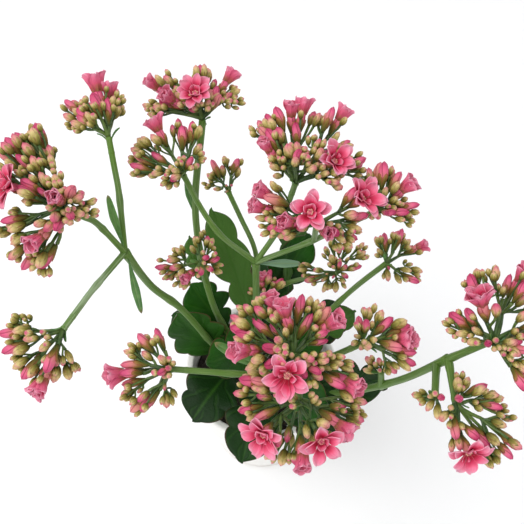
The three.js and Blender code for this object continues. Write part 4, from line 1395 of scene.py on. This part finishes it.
class KALANCHOE_OT_soil(bpy.types.Operator):
    """Fills the pot with peat and strews crumbs and pale grit on it"""

    bl_idname = "kalanchoe.soil"
    bl_label = "Fill the soil"

    RINGS = 30
    SIDES = 96
    FOOT_RADIUS = 29.5
    EDGE_DROP = 2

    def execute(self, context):
        soil = context.scene.kalanchoe_soil
        low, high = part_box("soil")
        rim, foot = high.x / MM, low.z / MM
        piece = Piece("peat")

        def lump(x, y):
            fine = noise.noise(Vector((x, y, 0)) * 0.28) * 1.1
            return fine + noise.noise(Vector((x, y, 9)) * 0.08) * 1.2 - 1.0

        def shape(ring, turn, x, y):
            if ring < 2:
                radius, height = self.FOOT_RADIUS * ring, foot
            else:
                radius = rim * (self.RINGS - ring) / (self.RINGS - 2)
                height = SOIL_LEVEL + (lump(x * radius, y * radius) if ring > 2 else -self.EDGE_DROP)
            place = Vector((x * radius, y * radius, height))
            return place, place

        piece.wrap(self.SIDES, self.RINGS, shape)
        dirt = soil_finish(soil)
        piece.finish([dirt], "soil", "soil")
        rng = random.Random("crumbs")

        def spots(number):
            for _ in range(number):
                away = (rim - 2.5) * math.sqrt(rng.random())
                turn = rng.uniform(0, 2 * math.pi)
                x, y = away * math.cos(turn), away * math.sin(turn)
                yield Vector((x, y, SOIL_LEVEL + lump(x, y) + 0.3))

        crumbs = Piece("soil_crumbs")
        crumbs.scatter(spots(soil.crumbs), 0, rng, 0.6, 1.9)
        crumbs.scatter(spots(soil.grit), 1, rng, 0.7, 1.7)
        crumbs.finish([dirt, grit_finish()], "soil", "soil")
        return {"FINISHED"}


class KALANCHOE_OT_stems(bpy.types.Operator):
    """Grows the main stems and their branches, with swollen joints and forks"""

    bl_idname = "kalanchoe.stems"
    bl_label = "Grow the stems"

    SIDES = 16

    def execute(self, context):
        finish = stem_finish(context.scene.kalanchoe_stem)
        for name, (radius, _) in STEMS.items():
            self.grow(name, stem_path(name), radius, finish)
        for name in BRANCHES:
            self.grow(name, branch_path(name), BRANCH_RADIUS, finish)
        return {"FINISHED"}

    def grow(self, name, path, radius, finish):
        rng = random.Random(name)
        piece = Piece(name + "_skin")
        count = len(path)
        main = name in STEMS
        joints = [rng.uniform(0.3, 0.4), rng.uniform(0.62, 0.72)] if main else [0.5]
        foot_swell, foot_length = (0.25, 3) if main else (0.12, 2)
        top_swell = 0.36 if name in STEMS_WITH_FORKED_TOPS else 0.0
        radii = []
        for i in range(count):
            along = i / (count - 1)
            joint = sum(0.2 * bell((along - j) * count, 1.6) for j in joints)
            foot = foot_swell * math.exp(-along * count / foot_length)
            top = top_swell * math.exp(-(1 - along) * count / 1.6)
            radii.append(radius * (1 + joint + foot + top))
        piece.tube(path, radii, self.SIDES, 0, (0, PALENESS.get(name, USUAL_PALENESS), 0))
        piece.finish([finish], "stem", name)


class KALANCHOE_OT_leaves(bpy.types.Operator):
    """Grows the thick scalloped leaves"""

    bl_idname = "kalanchoe.leaves"
    bl_label = "Grow the leaves"

    FINE = (40, 96)
    YOUTH = {
        "leaf_upright": 0.75, "leaf_left": 0.1, "leaf_narrow": 0.8, "leaf_small_right": 0.5,
        "leaf_upper_back": 0.4,
    }

    def execute(self, context):
        leaf = context.scene.kalanchoe_leaf
        finish = leaf_finish(leaf)
        depth = leaf.scallop_depth / MM
        for name, (base, tip, width, upper, arch) in LEAVES.items():
            rng = random.Random(name)
            shift = (rng.uniform(0, 0.3), rng.uniform(0, 0.3))

            def scallop(along, across):
                count = leaf.scallops * along + shift[across > 0]
                beat = math.sin(math.pi * count)
                uneven = 0.85 + 0.4 * math.sin(5 * math.floor(count + 0.5) + 20 * shift[across > 0])
                return depth * uneven * (1 - abs(beat) ** 0.7) * min(1.0, 3 * along)

            piece = Piece(name + "_blade")
            tint = (rng.uniform(-1, 1), self.YOUTH.get(name, 0.0), 0)
            piece.blade(base, tip, width, LEAF_THICKNESS, upper, arch, self.FINE, scallop, 0, tint)
            piece.finish([finish], "leaf", name)
        return {"FINISHED"}


class KALANCHOE_OT_bracts(bpy.types.Operator):
    """Grows the small smooth bracts at the forks"""

    bl_idname = "kalanchoe.bracts"
    bl_label = "Grow the bracts"

    FINE = (20, 30)

    def execute(self, context):
        finish = bract_finish()
        for name, (base, tip, width, upper, arch) in BRACTS.items():
            piece = Piece(name + "_blade")
            tint = (random.Random(name).uniform(-1, 1), float(name == "bract_middle"), 0)
            piece.blade(base, tip, width, BRACT_THICKNESS, upper, arch, self.FINE, None, 0, tint)
            piece.finish([finish], "bract", name)
        return {"FINISHED"}


class KALANCHOE_OT_stalks(bpy.types.Operator):
    """Grows the forking stalks of each flower head from its hub"""

    bl_idname = "kalanchoe.stalks"
    bl_label = "Grow the flower stalks"

    OVERLAP = 3.0
    NECK_STEPS = 12

    def execute(self, context):
        stem = context.scene.kalanchoe_stem
        finishes = [stalk_finish(stem), bract_finish(), stem_finish(stem)]
        for head, (carrier, _, clusters) in HEADS.items():
            piece = Piece(head + "_stalks")
            last, radius, run = neck_of(head)
            rng = random.Random(head)
            tint = (0, PALENESS.get(carrier, USUAL_PALENESS), 0)
            for hub, _ in clusters:
                way = (hub - last).normalized()
                inside = self.OVERLAP * max(0.25, way.dot(run))
                line = even_run([last - way * inside, hub], self.NECK_STEPS)
                piece.tube(line, self.neck_radii(radius), KALANCHOE_OT_stems.SIDES, 2, tint)
                self.bractlets(piece, hub, way, rng)
                last = hub
            for sprig in sprigs_of(head):
                piece.tube(sprig.path, sprig.radii, 6, 0, (sprig.tone, AGE[sprig.kind], 0))
            piece.finish(finishes, "stem", head)
        return {"FINISHED"}

    def neck_radii(self, radius):
        """A neck that tapers from its stem's radius to its hub's, with a swelling at both."""
        top = min(radius, HUB_RADIUS + 0.2)
        radii = [radius + (top - radius) * i / self.NECK_STEPS for i in range(self.NECK_STEPS + 1)]
        radii[:4] = [radius * share for share in (0.85, 1.0, 1.08, 1.04)]
        radii[-2:] = [top * 1.18, top * 1.05]
        return radii

    def bractlets(self, piece, hub, way, rng):
        """Two tiny leaves that clasp the hub."""
        stand = facing(hub, way, rng.uniform(0, 6))
        for sign in (1, -1):
            base = stand @ Vector((sign * 0.8, 0, -1.2))
            tip = stand @ Vector((sign * rng.uniform(4, 6), rng.uniform(-1, 1), rng.uniform(2, 4)))
            piece.blade(base, tip, 2.2, 0.6, way, 0.6, (10, 10), None, 1, (rng.uniform(-1, 1), 0, 0))


class KALANCHOE_OT_buds(bpy.types.Operator):
    """Grows the closed buds of each flower head"""

    bl_idname = "kalanchoe.buds"
    bl_label = "Grow the buds"

    def execute(self, context):
        flower = context.scene.kalanchoe_flower
        finishes = [bud_finish(flower), calyx_finish(flower)]
        for head in HEADS:
            piece = Piece(head + "_buds")
            for sprig in sprigs_of(head):
                if sprig.kind in BUDS:
                    closed_bud(piece, sprig)
            piece.finish(finishes, "flower", head)
        return {"FINISHED"}


class KALANCHOE_OT_flowers(bpy.types.Operator):
    """Opens the double flowers, half open cups and funnels of each flower head"""

    bl_idname = "kalanchoe.flowers"
    bl_label = "Open the flowers"

    PETAL_THICKNESS = 0.2
    PIECES = {"_flowers": ("opened", "funnel"), "_cups": ("cup", "rosette")}

    def execute(self, context):
        flower = context.scene.kalanchoe_flower
        finishes = [petal_finish(flower), calyx_finish(flower), bud_finish(flower)]
        for suffix, kinds in self.PIECES.items():
            for head in HEADS:
                sprigs = [sprig for sprig in sprigs_of(head) if sprig.kind in kinds]
                if not sprigs:
                    continue
                piece = Piece(head + suffix)
                for sprig in sprigs:
                    petal_rings(piece, sprig, flower)
                    piece.thicken(self.PETAL_THICKNESS)
                    piece.end_batch()
                for sprig in sprigs:
                    flower_foot(piece, sprig)
                piece.finish(finishes, "flower", head)
        return {"FINISHED"}


class KALANCHOE_OT_stage(bpy.types.Operator):
    """Lays the pale floor and sets up the soft light and the camera"""

    bl_idname = "kalanchoe.stage"
    bl_label = "Set the stage"

    FLOOR_RADIUS = 2.6
    SWEEP = 1.0
    SWEEP_STEPS = 8
    WALL_TOP = 2.8
    SKY = (0.97, 0.98, 1.0, 1)
    SKY_STRENGTH = 0.56
    CAMERA_PLACE = (0, -0.1877, 0.4306)

    def execute(self, context):
        stage = context.scene.kalanchoe_stage
        floor = add_object("floor", self.cove())
        floor.data.materials.append(floor_finish(stage))
        floor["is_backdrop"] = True
        self.light("key", (-0.9, -0.6, 2.0), 2.4, 40)
        self.light("fill", (1.6, 0.6, 1.5), 2.0, 5)
        world = bpy.data.worlds.new("studio")
        world.use_nodes = True
        sky = world.node_tree.nodes["Background"].inputs
        sky["Color"].default_value = self.SKY
        sky["Strength"].default_value = self.SKY_STRENGTH
        context.scene.world = world
        context.scene.view_settings.view_transform = "Standard"
        camera = add_object("camera", bpy.data.cameras.new("camera"))
        camera.data.lens = stage.lens
        camera.location = self.CAMERA_PLACE
        camera.rotation_euler = (math.pi / 2 - LOOK_DOWN, 0, 0)
        context.scene.camera = camera
        return {"FINISHED"}

    def cove(self):
        """A round floor, in metres, that sweeps up into a wall all round."""
        floor = bmesh.new()
        bmesh.ops.create_circle(floor, cap_ends=True, radius=self.FLOOR_RADIUS, segments=96)
        rim = floor.edges[:]
        places = []
        for step in range(1, self.SWEEP_STEPS + 1):
            angle = math.pi / 2 * step / self.SWEEP_STEPS
            radius = self.FLOOR_RADIUS + self.SWEEP * math.sin(angle)
            places.append((radius, self.SWEEP * (1 - math.cos(angle))))
        places.append((self.FLOOR_RADIUS + self.SWEEP, self.WALL_TOP))
        for radius, height in places:
            made = bmesh.ops.extrude_edge_only(floor, edges=rim)["geom"]
            rim = [part for part in made if isinstance(part, bmesh.types.BMEdge)]
            for corner in {corner for edge in rim for corner in edge.verts}:
                corner.co = (*(corner.co.xy.normalized() * radius), height)
        for face in floor.faces:
            face.smooth = True
        bmesh.ops.recalc_face_normals(floor, faces=floor.faces)
        floor.faces.ensure_lookup_table()
        if floor.faces[0].normal.z < 0:
            bmesh.ops.reverse_faces(floor, faces=floor.faces)
        return mesh_from("floor", floor)

    def light(self, name, place, size, power):
        """A square soft lamp that looks at the pot."""
        lamp = bpy.data.lights.new(name, "AREA")
        lamp.size = size
        lamp.energy = power
        light = add_object(name, lamp)
        light.location = place
        light.rotation_euler = (-Vector(place)).to_track_quat("-Z", "Y").to_euler()


class KALANCHOE_PT_panel(bpy.types.Panel):
    """Lists the steps that make the plant"""

    bl_label = "Kalanchoe"
    bl_space_type = "VIEW_3D"
    bl_region_type = "UI"
    bl_category = "Kalanchoe"

    def draw(self, context):
        for operator in OPERATORS:
            self.layout.operator(operator.bl_idname)
        for name in SETTINGS:
            group = getattr(context.scene, name)
            box = self.layout.box()
            for prop in group.bl_rna.properties:
                if not prop.is_readonly and prop.identifier != "name":
                    box.prop(group, prop.identifier)


OPERATORS = (
    KALANCHOE_OT_pot,
    KALANCHOE_OT_soil,
    KALANCHOE_OT_stems,
    KALANCHOE_OT_leaves,
    KALANCHOE_OT_bracts,
    KALANCHOE_OT_stalks,
    KALANCHOE_OT_buds,
    KALANCHOE_OT_flowers,
    KALANCHOE_OT_stage,
)
SETTINGS = {
    "kalanchoe_pot": PotSettings,
    "kalanchoe_soil": SoilSettings,
    "kalanchoe_stem": StemSettings,
    "kalanchoe_leaf": LeafSettings,
    "kalanchoe_flower": FlowerSettings,
    "kalanchoe_stage": StageSettings,
}
CLASSES = (*SETTINGS.values(), *OPERATORS, KALANCHOE_PT_panel)


def register():
    for item in CLASSES:
        bpy.utils.register_class(item)
    for name, settings in SETTINGS.items():
        setattr(bpy.types.Scene, name, PointerProperty(type=settings))


def unregister():
    for name in SETTINGS:
        delattr(bpy.types.Scene, name)
    for item in reversed(CLASSES):
        bpy.utils.unregister_class(item)


def main():
    register()
    for operator in OPERATORS:
        _, name = operator.bl_idname.split(".")
        getattr(bpy.ops.kalanchoe, name)()
    boxes = {"cad": CAD_BOX, "visual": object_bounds()}
    {key: [list(corner) for corner in box] for key, box in boxes.items()}


if __name__ == "__main__":
    main()
